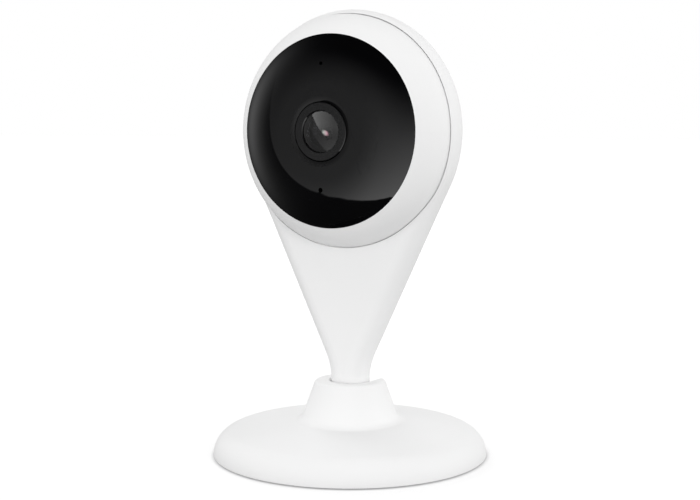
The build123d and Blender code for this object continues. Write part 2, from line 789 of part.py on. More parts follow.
# Lens holder on the main board, with the sliding infrared filter inside it
cavity_half = holder_half_size - holder_wall
roof_y = holder_front_y + 1.2
lens_holder = plate(2 * holder_half_size, 2 * holder_half_size, holder_front_y, board_front_y)
lens_holder += along_y(tube_radius, tube_front_y, holder_front_y)
lug_size = 2 * lug_offset + holder_wall
for x, z in lug_points:
    lug_x = x - holder_wall / 2 if x > 0 else x + holder_wall / 2
    lens_holder += plate(lug_size, lug_width, board_front_y - lug_depth, board_front_y, lug_x, z)
lens_holder -= plate(2 * cavity_half, 2 * cavity_half, roof_y, board_front_y + 1)
rail_half = 4.1
rail_back_y = roof_y + 1.0
for side in (1, -1):
    rail_centre = side * (rail_half + cavity_half) / 2
    lens_holder += plate(2 * cavity_half, cavity_half - rail_half, roof_y, rail_back_y, 0, rail_centre)
lens_holder -= along_y(barrel_radius + slide_gap, tube_front_y - 1, holder_front_y + 0.9)
lens_holder -= along_y(4.0, holder_front_y, roof_y + 0.1)
lug_hole_y = board_front_y - lug_depth + 0.6
for x, z in lug_points:
    lens_holder -= along_y(small_shank - slide_gap, lug_hole_y, board_front_y + 1, x, z)
save("lens_holder", lens_holder)
holder_screws = []
for x, z in lug_points:
    head_back_y = board_back_y + small_head_height
    tip_y = lug_hole_y + 0.2
    holder_screws.append(
        screw_forward(x, z, head_back_y, tip_y, small_shank - slide_gap, small_head, small_head_height)
    )
save("holder_screws", group(holder_screws))
slider_front_y = roof_y + 0.15
slider_back_y = rail_back_y - 0.15
slider_width = 9.4
slider_x = cavity_half - 0.25 - slider_width / 2
filter_slider = plate(slider_width, 2 * rail_half - 0.2, slider_front_y, slider_back_y, slider_x)
for x in (0.0, filter_travel):
    filter_slider -= plate(4.0, 5.0, slider_front_y - 1, slider_back_y + 1, x)
save("filter_slider", filter_slider)
glasses = []
for x in (0.0, filter_travel):
    glasses.append(plate(3.96, 4.96, slider_front_y + 0.2, slider_back_y - 0.2, x))
save("filter_glasses", group(glasses))
retainer_back_y = rail_back_y + 0.4
filter_retainer = plate(2 * cavity_half - 0.2, 2 * cavity_half - 0.2, rail_back_y, retainer_back_y)
filter_retainer -= along_y(3.6, rail_back_y - 1, retainer_back_y + 1)
save("filter_retainer", filter_retainer)
filter_coil = plate(7.0, 4.0, board_front_y - 3.8, board_front_y, 0, -holder_half_size - 2.4)
filter_coil += along_x(1.6, -5.0, -3.5, board_front_y - 1.9, head_z - holder_half_size - 2.4)
save("filter_coil", filter_coil)
image_sensor = plate(8.0, 7.2, board_front_y - 0.9, board_front_y)
save("image_sensor", image_sensor)

# Main board and what it carries
main_board = along_y(board_radius, board_front_y, board_back_y)
main_board += plate(2 * board_tab_reach, board_tab_width, board_front_y, board_back_y, -board_radius, card_z)
for x, z in post_points:
    main_board -= along_y(post_radius + cover_gap, board_front_y - 1, board_back_y + 1, x, z)
for x, z in standoff_points:
    main_board -= along_y(small_shank + 0.2, board_front_y - 1, board_back_y + 1, x, z)
for x, z in lug_points:
    main_board -= along_y(small_shank + 0.2, board_front_y - 1, board_back_y + 1, x, z)
save("main_board", main_board)
board_screws = []
for x, z in standoff_points:
    head_front_y = board_front_y - small_head_height
    tip_y = board_back_y + board_screw_reach
    board_screws.append(
        screw_backward(x, z, head_front_y, tip_y, small_shank - slide_gap, small_head, small_head_height)
    )
save("board_screws", group(board_screws))
can_roof_y = board_back_y + can_height - can_sheet
shield_can = plate(can_width, can_length, board_back_y, board_back_y + can_height, 0, can_z)
can_room_width = can_width - 2 * can_sheet
can_room_length = can_length - 2 * can_sheet
shield_can -= plate(can_room_width, can_room_length, board_back_y - 1, can_roof_y, 0, can_z)
save("shield_can", shield_can)
chip_back_y = board_back_y + processor_height
processor = plate(processor_size, processor_size, board_back_y, chip_back_y, processor_x, can_z)
save("processor", processor)
thermal_pad = plate(pad_size, pad_size, chip_back_y, can_roof_y, processor_x, can_z)
save("thermal_pad", thermal_pad)
flash_back_y = board_back_y + flash_height
flash_chip = plate(flash_width, flash_length, board_back_y, flash_back_y, flash_x, flash_z)
save("flash_chip", flash_chip)
radio_back_y = board_back_y + radio_height
wireless_module = plate(radio_width, radio_length, board_back_y, radio_back_y, radio_x, radio_z)
save("wireless_module", wireless_module)
antenna_back_y = board_back_y + antenna_height
fin_z = antenna_z + antenna_sheet / 2
antenna = plate(antenna_width, antenna_sheet, board_back_y, antenna_back_y, antenna_x, fin_z)
roof_front_y = antenna_back_y - antenna_sheet
antenna_roof_z = antenna_z + antenna_length / 2
antenna += plate(antenna_width, antenna_length, roof_front_y, antenna_back_y, antenna_x, antenna_roof_z)
save("antenna", antenna)

# Power inlet: a socket shell with its tongue, mouth flush with the back
mouth_y = back_y - 0.1
usb_socket = plate(socket_width, socket_height, board_back_y, mouth_y, 0, socket_z)
mouth_width = socket_width - 2 * socket_wall
mouth_height = socket_height - 2 * socket_wall
usb_socket -= plate(mouth_width, mouth_height, mouth_y - 5.6, mouth_y + 1, 0, socket_z)
usb_socket += plate(3.6, 0.6, mouth_y - 5.6, mouth_y - 0.8, 0, socket_z + 0.3)
save("usb_socket", usb_socket)

# Card socket at the side, open toward the slot in the body shell
card_socket_back_y = board_back_y + card_socket_height
card_socket_y = (board_back_y, card_socket_back_y)
card_socket = plate(card_socket_length, card_socket_width, *card_socket_y, card_socket_x, card_z)
card_room_width = card_slot_width - 0.7
card_room_y = (card_slot_front_y + 0.1, card_socket_back_y - 0.4)
card_socket -= plate(card_socket_length, card_room_width, *card_room_y, card_socket_x - 1.0, card_z)
save("card_socket", card_socket)

# Set button on the back with its switch
switch_top_y = cover_inner_y - button_flange - button_travel - 0.6
button_switch = plate(4.6, 4.6, board_back_y, switch_top_y - 0.8, button_x, button_z)
button_switch += along_y(1.1, switch_top_y - 0.8, switch_top_y, button_x, button_z)
save("button_switch", button_switch)
button_back_y = back_y + button_proud
button_cap = along_y(button_radius, cover_inner_y - slide_gap, button_back_y, button_x, button_z)
button_cap = fillet(button_cap.edges().sort_by(Axis.Y)[-1], 0.35)
flange_back_y = cover_inner_y - slide_gap
flange_front_y = flange_back_y - button_flange
flange = along_y(button_radius + 0.7, flange_front_y, flange_back_y, button_x, button_z)
set_button = button_cap + flange
save("set_button", set_button)

# Speaker behind the grille
gasket_back_y = cover_inner_y
gasket_front_y = gasket_back_y - gasket_thickness
speaker = along_y(speaker_radius, gasket_front_y - speaker_height, gasket_front_y, 0, speaker_z)
speaker -= along_y(speaker_radius - gasket_width, gasket_front_y - 0.8, gasket_front_y + 1, 0, speaker_z)
save("speaker", speaker)
speaker_gasket = along_y(speaker_radius, gasket_front_y, gasket_back_y, 0, speaker_z)
speaker_gasket -= along_y(speaker_radius - gasket_width, gasket_front_y - 1, gasket_back_y + 1, 0, speaker_z)
save("speaker_gasket", speaker_gasket)

# Infrared lamp board behind the window
led_board = along_y(led_board_radius, led_front_y, led_back_y)
for x, z in led_ear_points:
    led_board += plate(led_ear_size, led_ear_size, led_front_y, led_back_y, x * 0.97, z * 0.97)
led_board -= along_y(led_board_hole_radius, led_front_y - 1, led_back_y + 1)
for x, z in led_ear_points:
    led_board -= along_y(small_shank + 0.2, led_front_y - 1, led_back_y + 1, x, z)
save("led_board", led_board)
led_screws = []
for x, z in led_ear_points:
    head_back_y = led_back_y + small_head_height
    tip_y = ledge_front_y + 0.35
    led_screws.append(
        screw_forward(x, z, head_back_y, tip_y, small_shank - slide_gap, small_head, small_head_height)
    )
save("led_screws", group(led_screws))
infrared_leds = []
for x, z in around(led_circle_radius, led_count, 180 / led_count):
    lamp = plate(led_size, led_size, led_front_y - led_height * 0.5, led_front_y, x, z)
    lamp += along_y(led_size * 0.44, led_front_y - led_height, led_front_y - led_height * 0.5, x, z)
    infrared_leds.append(lamp)
save("infrared_leds", group(infrared_leds))
light_sensor = plate(2.0, 1.6, led_front_y - 0.8, led_front_y, 0, upper_pinhole_z)
save("light_sensor", light_sensor)
light_baffle = along_y(window_hole_radius + 2.0, window_inner_y, led_front_y)
light_baffle -= along_y(window_hole_radius + 0.7, window_inner_y - 1, led_front_y + 1)
save("light_baffle", light_baffle)
microphone = plate(3.0, 3.0, led_front_y - 1.0, led_front_y, 0, lower_pinhole_z)
save("microphone", microphone)
boot = along_y(1.9, window_inner_y, led_front_y - 1.0, 0, lower_pinhole_z)
boot -= along_y(lower_pinhole_radius, window_inner_y - 1, led_front_y, 0, lower_pinhole_z)
save("microphone_boot", boot)
board_link = plate(8.0, 2.2, led_back_y, board_front_y, 0, 13.2)
save("board_link", board_link)
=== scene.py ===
"""Dresses a small drop-shaped security camera that stands on a round base.

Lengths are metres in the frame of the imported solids: the centre of the foot is the origin, +Z is up and
the lens looks along -Y.
"""

from __future__ import annotations

import logging
import math
from collections.abc import Sequence
from dataclasses import dataclass, field
from enum import Enum

import bmesh
import bpy
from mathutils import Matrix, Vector

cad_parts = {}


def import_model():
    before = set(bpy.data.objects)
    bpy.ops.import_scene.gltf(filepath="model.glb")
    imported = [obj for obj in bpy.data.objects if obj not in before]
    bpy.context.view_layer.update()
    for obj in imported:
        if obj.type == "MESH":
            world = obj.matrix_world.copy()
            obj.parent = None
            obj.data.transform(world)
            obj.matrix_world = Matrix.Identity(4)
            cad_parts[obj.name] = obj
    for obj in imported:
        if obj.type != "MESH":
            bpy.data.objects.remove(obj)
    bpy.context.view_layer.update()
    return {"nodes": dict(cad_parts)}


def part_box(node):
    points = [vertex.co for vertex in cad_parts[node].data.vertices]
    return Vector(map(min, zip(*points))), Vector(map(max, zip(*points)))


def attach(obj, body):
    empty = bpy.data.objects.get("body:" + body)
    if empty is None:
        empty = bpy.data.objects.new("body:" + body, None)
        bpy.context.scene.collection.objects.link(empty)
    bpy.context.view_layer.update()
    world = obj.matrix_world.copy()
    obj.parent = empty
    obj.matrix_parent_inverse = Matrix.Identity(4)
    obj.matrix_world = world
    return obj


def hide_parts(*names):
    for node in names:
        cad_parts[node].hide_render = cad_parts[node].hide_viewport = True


MM = 0.001
LOG = logging.getLogger("security_camera")

# Height of the lens axis above the foot, on which turned finishes and the mirrored room are centred.
LENS_AXIS_Z = 83.8 * MM
# Sides of a turned piece, and the angle from which an edge stays sharp in smooth shading.
LATHE_SIDES = 96
CREASE_DEG = 32.0
# Points of a CAD mesh that are closer than this are one point.
SAME_POINT = 0.001 * MM
# Sockets of a Mix node that blends colours.
MIX_FACTOR, MIX_FIRST, MIX_SECOND, MIX_RESULT = 0, 6, 7, 2
# Phase that a Wave Texture gains over a unit of length at scale 1.
WAVE_PHASE = 20.0
# Grains to one unit of the board's track pattern, and the share of it that lies between two tracks.
TRACK_SPAN = 8.0
TRACK_GAP = 0.03
# Brushed and rolled metal has its grain drawn out along Z.
BRUSH_STRETCH = (1.0, 1.0, 0.06)
# Seed of the chance turn of each screw.
SCREW_SEED = 7

Colour = tuple[float, float, float, float]
Way = tuple[float, float, float]
Box = tuple[Vector, Vector]
Nodes = dict[str, bpy.types.Object]
Source = bpy.types.Node | bpy.types.NodeSocket


def linear(code: str) -> Colour:
    """Turns an sRGB hex colour into linear light.

    Args:
        code: A colour such as "#F1F1EF".

    Returns:
        Red, green, blue and alpha.
    """
    shares = [int(code[start : start + 2], 16) / 255 for start in (1, 3, 5)]
    lights = [share / 12.92 if share <= 0.04045 else ((share + 0.055) / 1.055) ** 2.4 for share in shares]
    return (lights[0], lights[1], lights[2], 1.0)


def add_node(
    tree: bpy.types.NodeTree, kind: str, inputs: dict | None = None, **settings: object
) -> bpy.types.Node:
    """Adds one node, sets it and links it.

    Args:
        tree: The tree that gets the node.
        kind: The node's type name.
        inputs: Values, source sockets or source nodes by input name or number. A node gives its first
            output, and a list links several sources.
        settings: The node's own properties.

    Returns:
        The new node.
    """
    node = tree.nodes.new(kind)
    for name, value in settings.items():
        setattr(node, name, value)
    for name, value in (inputs or {}).items():
        socket = node.inputs[name]
        for source in value if isinstance(value, list) else [value]:
            if isinstance(source, bpy.types.Node):
                source = source.outputs[0]
            if isinstance(source, bpy.types.NodeSocket):
                tree.links.new(source, socket)
            else:
                socket.default_value = source
    return node


@dataclass(frozen=True)
class Ramp:
    """A level that goes from first to last while a measure goes from start to end."""

    start: float
    end: float
    first: float = 0.0
    last: float = 1.0

    def inputs(self, measure: Source) -> dict[str, object]:
        """Gives what a Map Range node takes in to follow the ramp."""
        limits = {"From Min": self.start, "From Max": self.end, "To Min": self.first, "To Max": self.last}
        return {"Value": measure, **limits}


class Relief(Enum):
    """How a surface got its fine texture."""

    MOULDED = "moulded"
    BRUSHED = "brushed"
    TURNED = "turned"
    TRACKED = "tracked"


@dataclass(frozen=True)
class Finish:
    """A surface finish: its two close colours, its gloss and its fine relief.

    The colours drift from one to the other over patches, the gloss drifts with them, and the relief is a
    bump whose grain and height are real sizes.
    """

    name: str
    slot: str
    colour: str
    drift: str
    roughness: float
    spread: float
    patch_mm: float
    grain_mm: float
    height_um: float
    relief: Relief = Relief.MOULDED
    shader: dict[str, float] = field(default_factory=dict, hash=False)

    def material(self) -> bpy.types.Material:
        """Makes the material on the first call and gives the same one back later.

        Returns:
            The finish's material.
        """
        made = bpy.data.materials.get(self.name)
        if made is None:
            made = bpy.data.materials.new(self.name)
            made.use_nodes = True
            self.fill(made.node_tree)
        return made

    def fill(self, tree: bpy.types.NodeTree) -> None:
        """Wires the colour drift, the gloss and the relief to the shader.

        Args:
            tree: The material's node tree.
        """
        shader = tree.nodes["Principled BSDF"]
        for name, value in self.shader.items():
            shader.inputs[name].default_value = value
        place = add_node(tree, "ShaderNodeTexCoord").outputs["Object"]
        clouds = {"Vector": place, "Scale": 1 / (self.patch_mm * MM), "Detail": 3.0}
        patches = add_node(tree, "ShaderNodeTexNoise", clouds).outputs["Fac"]
        tints = {MIX_FACTOR: patches, MIX_FIRST: linear(self.colour), MIX_SECOND: linear(self.drift)}
        tint = add_node(tree, "ShaderNodeMix", tints, data_type="RGBA")
        polish = Ramp(0.0, 1.0, self.roughness - self.spread, self.roughness + self.spread)
        gloss = add_node(tree, "ShaderNodeMapRange", polish.inputs(patches))
        marks = {"Height": self.texture(tree, place), "Distance": self.height_um * MM * MM, "Strength": 1.0}
        bump = add_node(tree, "ShaderNodeBump", marks)
        tree.links.new(tint.outputs[MIX_RESULT], shader.inputs["Base Color"])
        tree.links.new(gloss.outputs["Result"], shader.inputs["Roughness"])
        tree.links.new(bump.outputs["Normal"], shader.inputs["Normal"])

    def texture(self, tree: bpy.types.NodeTree, place: bpy.types.NodeSocket) -> bpy.types.NodeSocket:
        """Draws the fine relief.

        Args:
            tree: The material's node tree.
            place: Object coordinates.

        Returns:
            The relief's height, from 0 to 1.
        """
        grain = self.grain_mm * MM
        if self.relief is Relief.TURNED:
            centre = {"Vector": place, "Location": (0.0, 0.0, -LENS_AXIS_Z)}
            centred = add_node(tree, "ShaderNodeMapping", centre)
            rings = {"Vector": centred, "Scale": math.tau / (WAVE_PHASE * grain)}
            wave = add_node(tree, "ShaderNodeTexWave", rings, wave_type="RINGS", rings_direction="Y")
            return wave.outputs["Fac"]
        if self.relief is Relief.TRACKED:
            upright = {"Vector": place, "Rotation": (math.pi / 2, 0.0, 0.0)}
            laid = add_node(tree, "ShaderNodeMapping", upright)
            tracks = {"Vector": laid, "Scale": 1 / (TRACK_SPAN * grain), "Mortar Size": TRACK_GAP}
            return add_node(tree, "ShaderNodeTexBrick", tracks).outputs["Fac"]
        stretch = BRUSH_STRETCH if self.relief is Relief.BRUSHED else (1.0, 1.0, 1.0)
        drawn = add_node(tree, "ShaderNodeMapping", {"Vector": place, "Scale": stretch})
        specks = {"Vector": drawn, "Scale": 1 / grain, "Detail": 2.0}
        return add_node(tree, "ShaderNodeTexNoise", specks).outputs["Fac"]


# Satin white ABS, moulded in a fine-eroded tool: an even, slightly soft white with no clear reflections.
WHITE_ABS = Finish(
    "satin_white_moulded_abs", "white_plastic", "#F3F3F3", "#F0F0F0",
    roughness=0.48, spread=0.03, patch_mm=25.0, grain_mm=0.35, height_um=2.5,
    shader={"IOR": 1.53, "Specular IOR Level": 0.2},
)
# Matt grey ABS: the button and the bottom cover, duller than the white shell.
GREY_ABS = Finish(
    "matt_grey_moulded_abs", "grey_plastic", "#B9BABB", "#AFB0B2",
    roughness=0.55, spread=0.05, patch_mm=9.0, grain_mm=0.25, height_um=3.0,
    shader={"IOR": 1.53},
)
# Black acrylic, moulded against a polished face: a deep black that mirrors the room like dark glass.
BLACK_ACRYLIC = Finish(
    "polished_black_acrylic", "black_window", "#060607", "#040405",
    roughness=0.035, spread=0.01, patch_mm=14.0, grain_mm=6.0, height_um=0.15,
    shader={"IOR": 1.49},
)
# Black anodised aluminium, turned and polished: nearly as deep a black as the window, with faint lathe marks.
BLACK_ANODISED = Finish(
    "turned_black_anodised_aluminium", "lens_black", "#0F0F10", "#0C0C0D",
    roughness=0.11, spread=0.02, patch_mm=4.0, grain_mm=0.12, height_um=0.06,
    relief=Relief.TURNED, shader={"IOR": 1.5},
)
# Black-blasted lens barrel: matt, so that little light strays inside.
BARREL_BLACK = Finish(
    "matt_black_lens_lacquer", "lens_black", "#141414", "#0E0E0E",
    roughness=0.6, spread=0.08, patch_mm=3.0, grain_mm=0.15, height_um=4.0,
    relief=Relief.TURNED, shader={"IOR": 1.5},
)
# Optical glass with a smoke tint: dark in the barrel, with a crisp polished face that mirrors the lights.
COATED_GLASS = Finish(
    "coated_optical_glass", "lens_glass", "#3A3A3D", "#37373A",
    roughness=0.005, spread=0.003, patch_mm=6.0, grain_mm=3.0, height_um=0.01,
    shader={"IOR": 1.52, "Transmission Weight": 1.0},
)
# Inner glasses with many thin coats: they mirror little, with a faint violet cast.
INNER_GLASS = Finish(
    "multi_coated_inner_glass", "lens_glass", "#F4F2FF", "#EEF2FF",
    roughness=0.006, spread=0.003, patch_mm=6.0, grain_mm=3.0, height_um=0.01,
    shader={"IOR": 1.22, "Transmission Weight": 1.0},
)
# Matt black moulded plastic of the inner frames.
BLACK_PLASTIC = Finish(
    "matt_black_moulded_plastic", "black_plastic", "#1C1C1D", "#151516",
    roughness=0.5, spread=0.06, patch_mm=6.0, grain_mm=0.2, height_um=3.0,
    shader={"IOR": 1.53},
)
# Chip resin: black epoxy filled with fine glass, a dull charcoal with a tiny speckle.
CHIP_RESIN = Finish(
    "moulded_chip_epoxy", "chip_black", "#2A2A2C", "#1F1F20",
    roughness=0.62, spread=0.08, patch_mm=0.5, grain_mm=0.1, height_um=5.0,
    shader={"IOR": 1.55},
)
# Steel with bright zinc: silver with a slight blue drift and a tumbled grain.
ZINC_STEEL = Finish(
    "bright_zinc_plated_steel", "steel", "#C9CACB", "#B2B6BA",
    roughness=0.3, spread=0.08, patch_mm=0.8, grain_mm=0.15, height_um=2.0,
    shader={"Metallic": 1.0},
)
# Zinc alloy as it leaves the die: a grey, grainy casting skin.
CAST_ZINC = Finish(
    "die_cast_zinc_alloy", "cast_alloy", "#A4A6A8", "#8C8E91",
    roughness=0.48, spread=0.08, patch_mm=2.5, grain_mm=0.2, height_um=8.0,
    shader={"Metallic": 1.0},
)
# Tinned sheet, rolled: a soft satin silver with rolling lines.
TINNED_SHEET = Finish(
    "rolled_tinned_sheet", "tinned_sheet", "#D2D1CD", "#BFBEBA",
    roughness=0.34, spread=0.06, patch_mm=2.0, grain_mm=0.12, height_um=1.5,
    relief=Relief.BRUSHED, shader={"Metallic": 1.0},
)
# Gold flash on the contacts of the power inlet: a warm yellow with fine lines.
GOLD_FLASH = Finish(
    "gold_flashed_contact", "tinned_sheet", "#E3BE6A", "#D3A94F",
    roughness=0.24, spread=0.05, patch_mm=0.6, grain_mm=0.08, height_um=1.0,
    relief=Relief.BRUSHED, shader={"Metallic": 1.0},
)
# Silicone rubber: soft black seals, dusty and dull.
BLACK_RUBBER = Finish(
    "matt_black_silicone_rubber", "rubber", "#232323", "#191919",
    roughness=0.75, spread=0.08, patch_mm=3.0, grain_mm=0.2, height_um=6.0,
    shader={"IOR": 1.41, "Sheen Weight": 0.15},
)
# Grey silicone: the dull soft foot that keeps the base from sliding, and the pad that cools the processor.
GREY_RUBBER = Finish(
    "matt_grey_silicone_rubber", "grey_plastic", "#4A4B4D", "#424345",
    roughness=0.6, spread=0.06, patch_mm=5.0, grain_mm=0.3, height_um=6.0,
    shader={"IOR": 1.41},
)
# Glass-fibre board under green solder mask: glossy green with raised tracks.
SOLDER_MASK = Finish(
    "green_solder_mask_board", "circuit_board", "#12552F", "#0C4526",
    roughness=0.32, spread=0.06, patch_mm=1.6, grain_mm=0.25, height_um=18.0,
    relief=Relief.TRACKED, shader={"IOR": 1.55},
)
# Lamp resin: smoky epoxy domes of the infrared lamps.
LAMP_RESIN = Finish(
    "smoky_lamp_epoxy", "lamp_resin", "#6A6672", "#57535F",
    roughness=0.12, spread=0.04, patch_mm=1.0, grain_mm=0.4, height_um=0.5,
    shader={"IOR": 1.53, "Transmission Weight": 0.6},
)
# Black nylon mesh that keeps dust out of the loudspeaker: dull round strands.
NYLON_MESH = Finish(
    "black_nylon_dust_mesh", "black_plastic", "#202022", "#141416",
    roughness=0.55, spread=0.06, patch_mm=0.6, grain_mm=0.08, height_um=2.0,
    shader={"IOR": 1.53},
)
# Treated paper cone of the loudspeaker: a brownish black, dull and fibrous.
PAPER_CONE = Finish(
    "treated_paper_cone", "black_plastic", "#2B2926", "#1F1E1C",
    roughness=0.7, spread=0.08, patch_mm=1.2, grain_mm=0.1, height_um=9.0,
    shader={"IOR": 1.5},
)


def keep(piece: bpy.types.Object, body: str, finish: Finish, *nodes: str) -> None:
    """Puts a new piece on its body and logs it.

    Args:
        piece: The finished piece.
        body: The CAD body that carries it.
        finish: Not used.
        nodes: CAD nodes that it stands for.
    """
    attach(piece, body)
    if nodes:
        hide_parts(*nodes)
    LOG.info("%s rides on %s, %d faces", piece.name, body, len(piece.data.polygons))


def dress(nodes: Nodes, coats: dict[str, Finish]) -> None:
    """Gives CAD nodes their finishes.

    Args:
        nodes: The frame's node objects by name.
        coats: The finish of each node.
    """
    for name, finish in coats.items():
        materials = nodes[name].data.materials
        materials.clear()
        materials.append(finish.material())
        LOG.info("%s is %s", name, finish.name)


def link(name: str, data: bpy.types.ID) -> bpy.types.Object:
    """Puts a mesh, lamp or camera into the scene.

    Args:
        name: The object's name.
        data: What it shows.

    Returns:
        The new object.
    """
    piece = bpy.data.objects.new(name, data)
    bpy.context.scene.collection.objects.link(piece)
    return piece


def soften(mesh: bpy.types.Mesh) -> None:
    """Shades a mesh smoothly, apart from its sharp edges."""
    mesh.polygons.foreach_set("use_smooth", [True] * len(mesh.polygons))
    mesh.set_sharp_from_angle(angle=math.radians(CREASE_DEG))


def lathe(
    name: str, profile: Sequence[tuple[float, float]], finish: Finish, centre: Vector
) -> bpy.types.Object:
    """Turns a profile about an axis along Y.

    Args:
        name: The piece's name.
        profile: Radius and depth of each point; the outline is closed, or starts and ends on the axis.
        finish: The piece's finish.
        centre: A point on the axis, whose Y the depths are added to.

    Returns:
        The turned piece.
    """
    shape = bmesh.new()
    rings = []
    for radius, depth in profile:
        ring = []
        for side in range(LATHE_SIDES if radius > 0 else 1):
            turn = math.tau * side / LATHE_SIDES
            across, up = radius * math.cos(turn), radius * math.sin(turn)
            ring.append(shape.verts.new((centre.x + across, centre.y + depth, centre.z + up)))
        rings.append(ring)
    for near, far in zip(rings, rings[1:] + rings[:1]):
        if len(near) == len(far) == 1:
            continue
        for side in range(LATHE_SIDES):
            order = ((near, side), (near, side + 1), (far, side + 1), (far, side))
            corners = [ring[spot % len(ring)] for ring, spot in order]
            shape.faces.new(list(dict.fromkeys(corners)))
    bmesh.ops.recalc_face_normals(shape, faces=shape.faces)
    mesh = bpy.data.meshes.new(name)
    shape.to_mesh(mesh)
    shape.free()
    soften(mesh)
    mesh.materials.append(finish.material())
    return link(name, mesh)


def solids_of(node: bpy.types.Object) -> list[Box]:
    """Finds the separate solids of a CAD node.

    Args:
        node: The node's object.

    Returns:
        The lowest and highest corner of each solid, in a steady order.
    """
    shape = bmesh.new()
    shape.from_mesh(node.data)
    bmesh.ops.remove_doubles(shape, verts=shape.verts, dist=SAME_POINT)
    waiting = set(shape.verts)
    boxes = []
    while waiting:
        front = [waiting.pop()]
        corners = []
        while front:
            vert = front.pop()
            corners.append(vert.co.copy())
            for edge in vert.link_edges:
                other = edge.other_vert(vert)
                if other in waiting:
                    waiting.remove(other)
                    front.append(other)
        low = Vector(min(corner[axis] for corner in corners) for axis in range(3))
        high = Vector(max(corner[axis] for corner in corners) for axis in range(3))
        boxes.append((low, high))
    shape.free()
    return sorted(boxes, key=lambda box: tuple(round(value, 6) for value in box[0]))


def new_tree(name: str, sizes: Sequence[str]) -> tuple[bpy.types.NodeTree, bpy.types.Node]:
    """Starts a Geometry Nodes tree with named sizes.

    Args:
        name: The tree's name.
        sizes: Names of its float inputs.

    Returns:
        The tree and its input node.
    """
    tree = bpy.data.node_groups.new(name, "GeometryNodeTree")
    kinds = {"Points": "Geometry", **dict.fromkeys(sizes, "Float"), "Turn": "Vector", "Finish": "Material"}
    for socket, kind in kinds.items():
        tree.interface.new_socket(socket, in_out="INPUT", socket_type=f"NodeSocket{kind}")
    tree.interface.new_socket("Result", in_out="OUTPUT", socket_type="NodeSocketGeometry")
    return tree, add_node(tree, "NodeGroupInput")


def end_tree(tree: bpy.types.NodeTree, given: bpy.types.Node, shape: bpy.types.Node, seed: int) -> None:
    """Places a shape on every point, each turned by chance about its axis, and ends the tree.

    Args:
        tree: The tree.
        given: Its input node.
        shape: The node that makes the shape.
        seed: The seed of the chance turn; 0 turns nothing.
    """
    # Sockets 2 and 3 are the range of a float and 8 is the seed; output 1 is the float.
    chance = add_node(tree, "FunctionNodeRandomValue", {2: 0.0, 3: math.tau if seed else 0.0, 8: seed})
    about = {"Axis": (0.0, 0.0, 1.0), "Angle": chance.outputs[1]}
    spin = add_node(tree, "FunctionNodeAxisAngleToRotation", about)
    aim = add_node(tree, "FunctionNodeEulerToRotation", {"Euler": given.outputs["Turn"]})
    turns = {"Rotation": aim, "Rotate By": spin}
    facing = add_node(tree, "FunctionNodeRotateRotation", turns, rotation_space="LOCAL")
    places = {"Points": given.outputs["Points"], "Instance": shape, "Rotation": facing}
    placed = add_node(tree, "GeometryNodeInstanceOnPoints", places)
    real = add_node(tree, "GeometryNodeRealizeInstances", {"Geometry": placed})
    coat = {"Geometry": real, "Material": given.outputs["Finish"]}
    coated = add_node(tree, "GeometryNodeSetMaterial", coat)
    add_node(tree, "NodeGroupOutput", {"Result": coated})


def grow(
    name: str,
    tree: bpy.types.NodeTree,
    points: Sequence[Vector],
    sizes: dict[str, float],
    turn: Way,
    finish: Finish,
) -> bpy.types.Object:
    """Runs a tree on points and keeps the result as a plain mesh.

    Args:
        name: The piece's name.
        tree: The Geometry Nodes tree.
        points: Where the shapes go.
        sizes: The tree's float inputs by name.
        turn: Euler angles that aim the shapes.
        finish: The piece's finish.

    Returns:
        The piece, with no modifier left.
    """
    spots = bpy.data.meshes.new(f"{name}_spots")
    spots.from_pydata([tuple(point) for point in points], [], [])
    piece = link(name, spots)
    modifier = piece.modifiers.new(name, "NODES")
    modifier.node_group = tree
    values = {**sizes, "Turn": turn, "Finish": finish.material()}
    for socket in tree.interface.items_tree:
        if socket.name in values:
            modifier[socket.identifier] = values[socket.name]
    graph = bpy.context.evaluated_depsgraph_get()
    mesh = bpy.data.meshes.new_from_object(piece.evaluated_get(graph))
    piece.modifiers.clear()
    piece.data = mesh
    mesh.name = name
    bpy.data.meshes.remove(spots)
    soften(mesh)
    return piece


class Drive(Enum):
    """The way a screw is driven, as Euler angles that turn +Z to it."""

    UP = (0.0, 0.0, 0.0)
    FORWARD = (math.pi / 2, 0.0, 0.0)
    BACKWARD = (-math.pi / 2, 0.0, 0.0)


class Gauge(Enum):
    """A screw size, as the height of the head and the radius of the shank."""

    SMALL = (0.9 * MM, 0.75 * MM)
    LARGE = (1.2 * MM, 0.95 * MM)


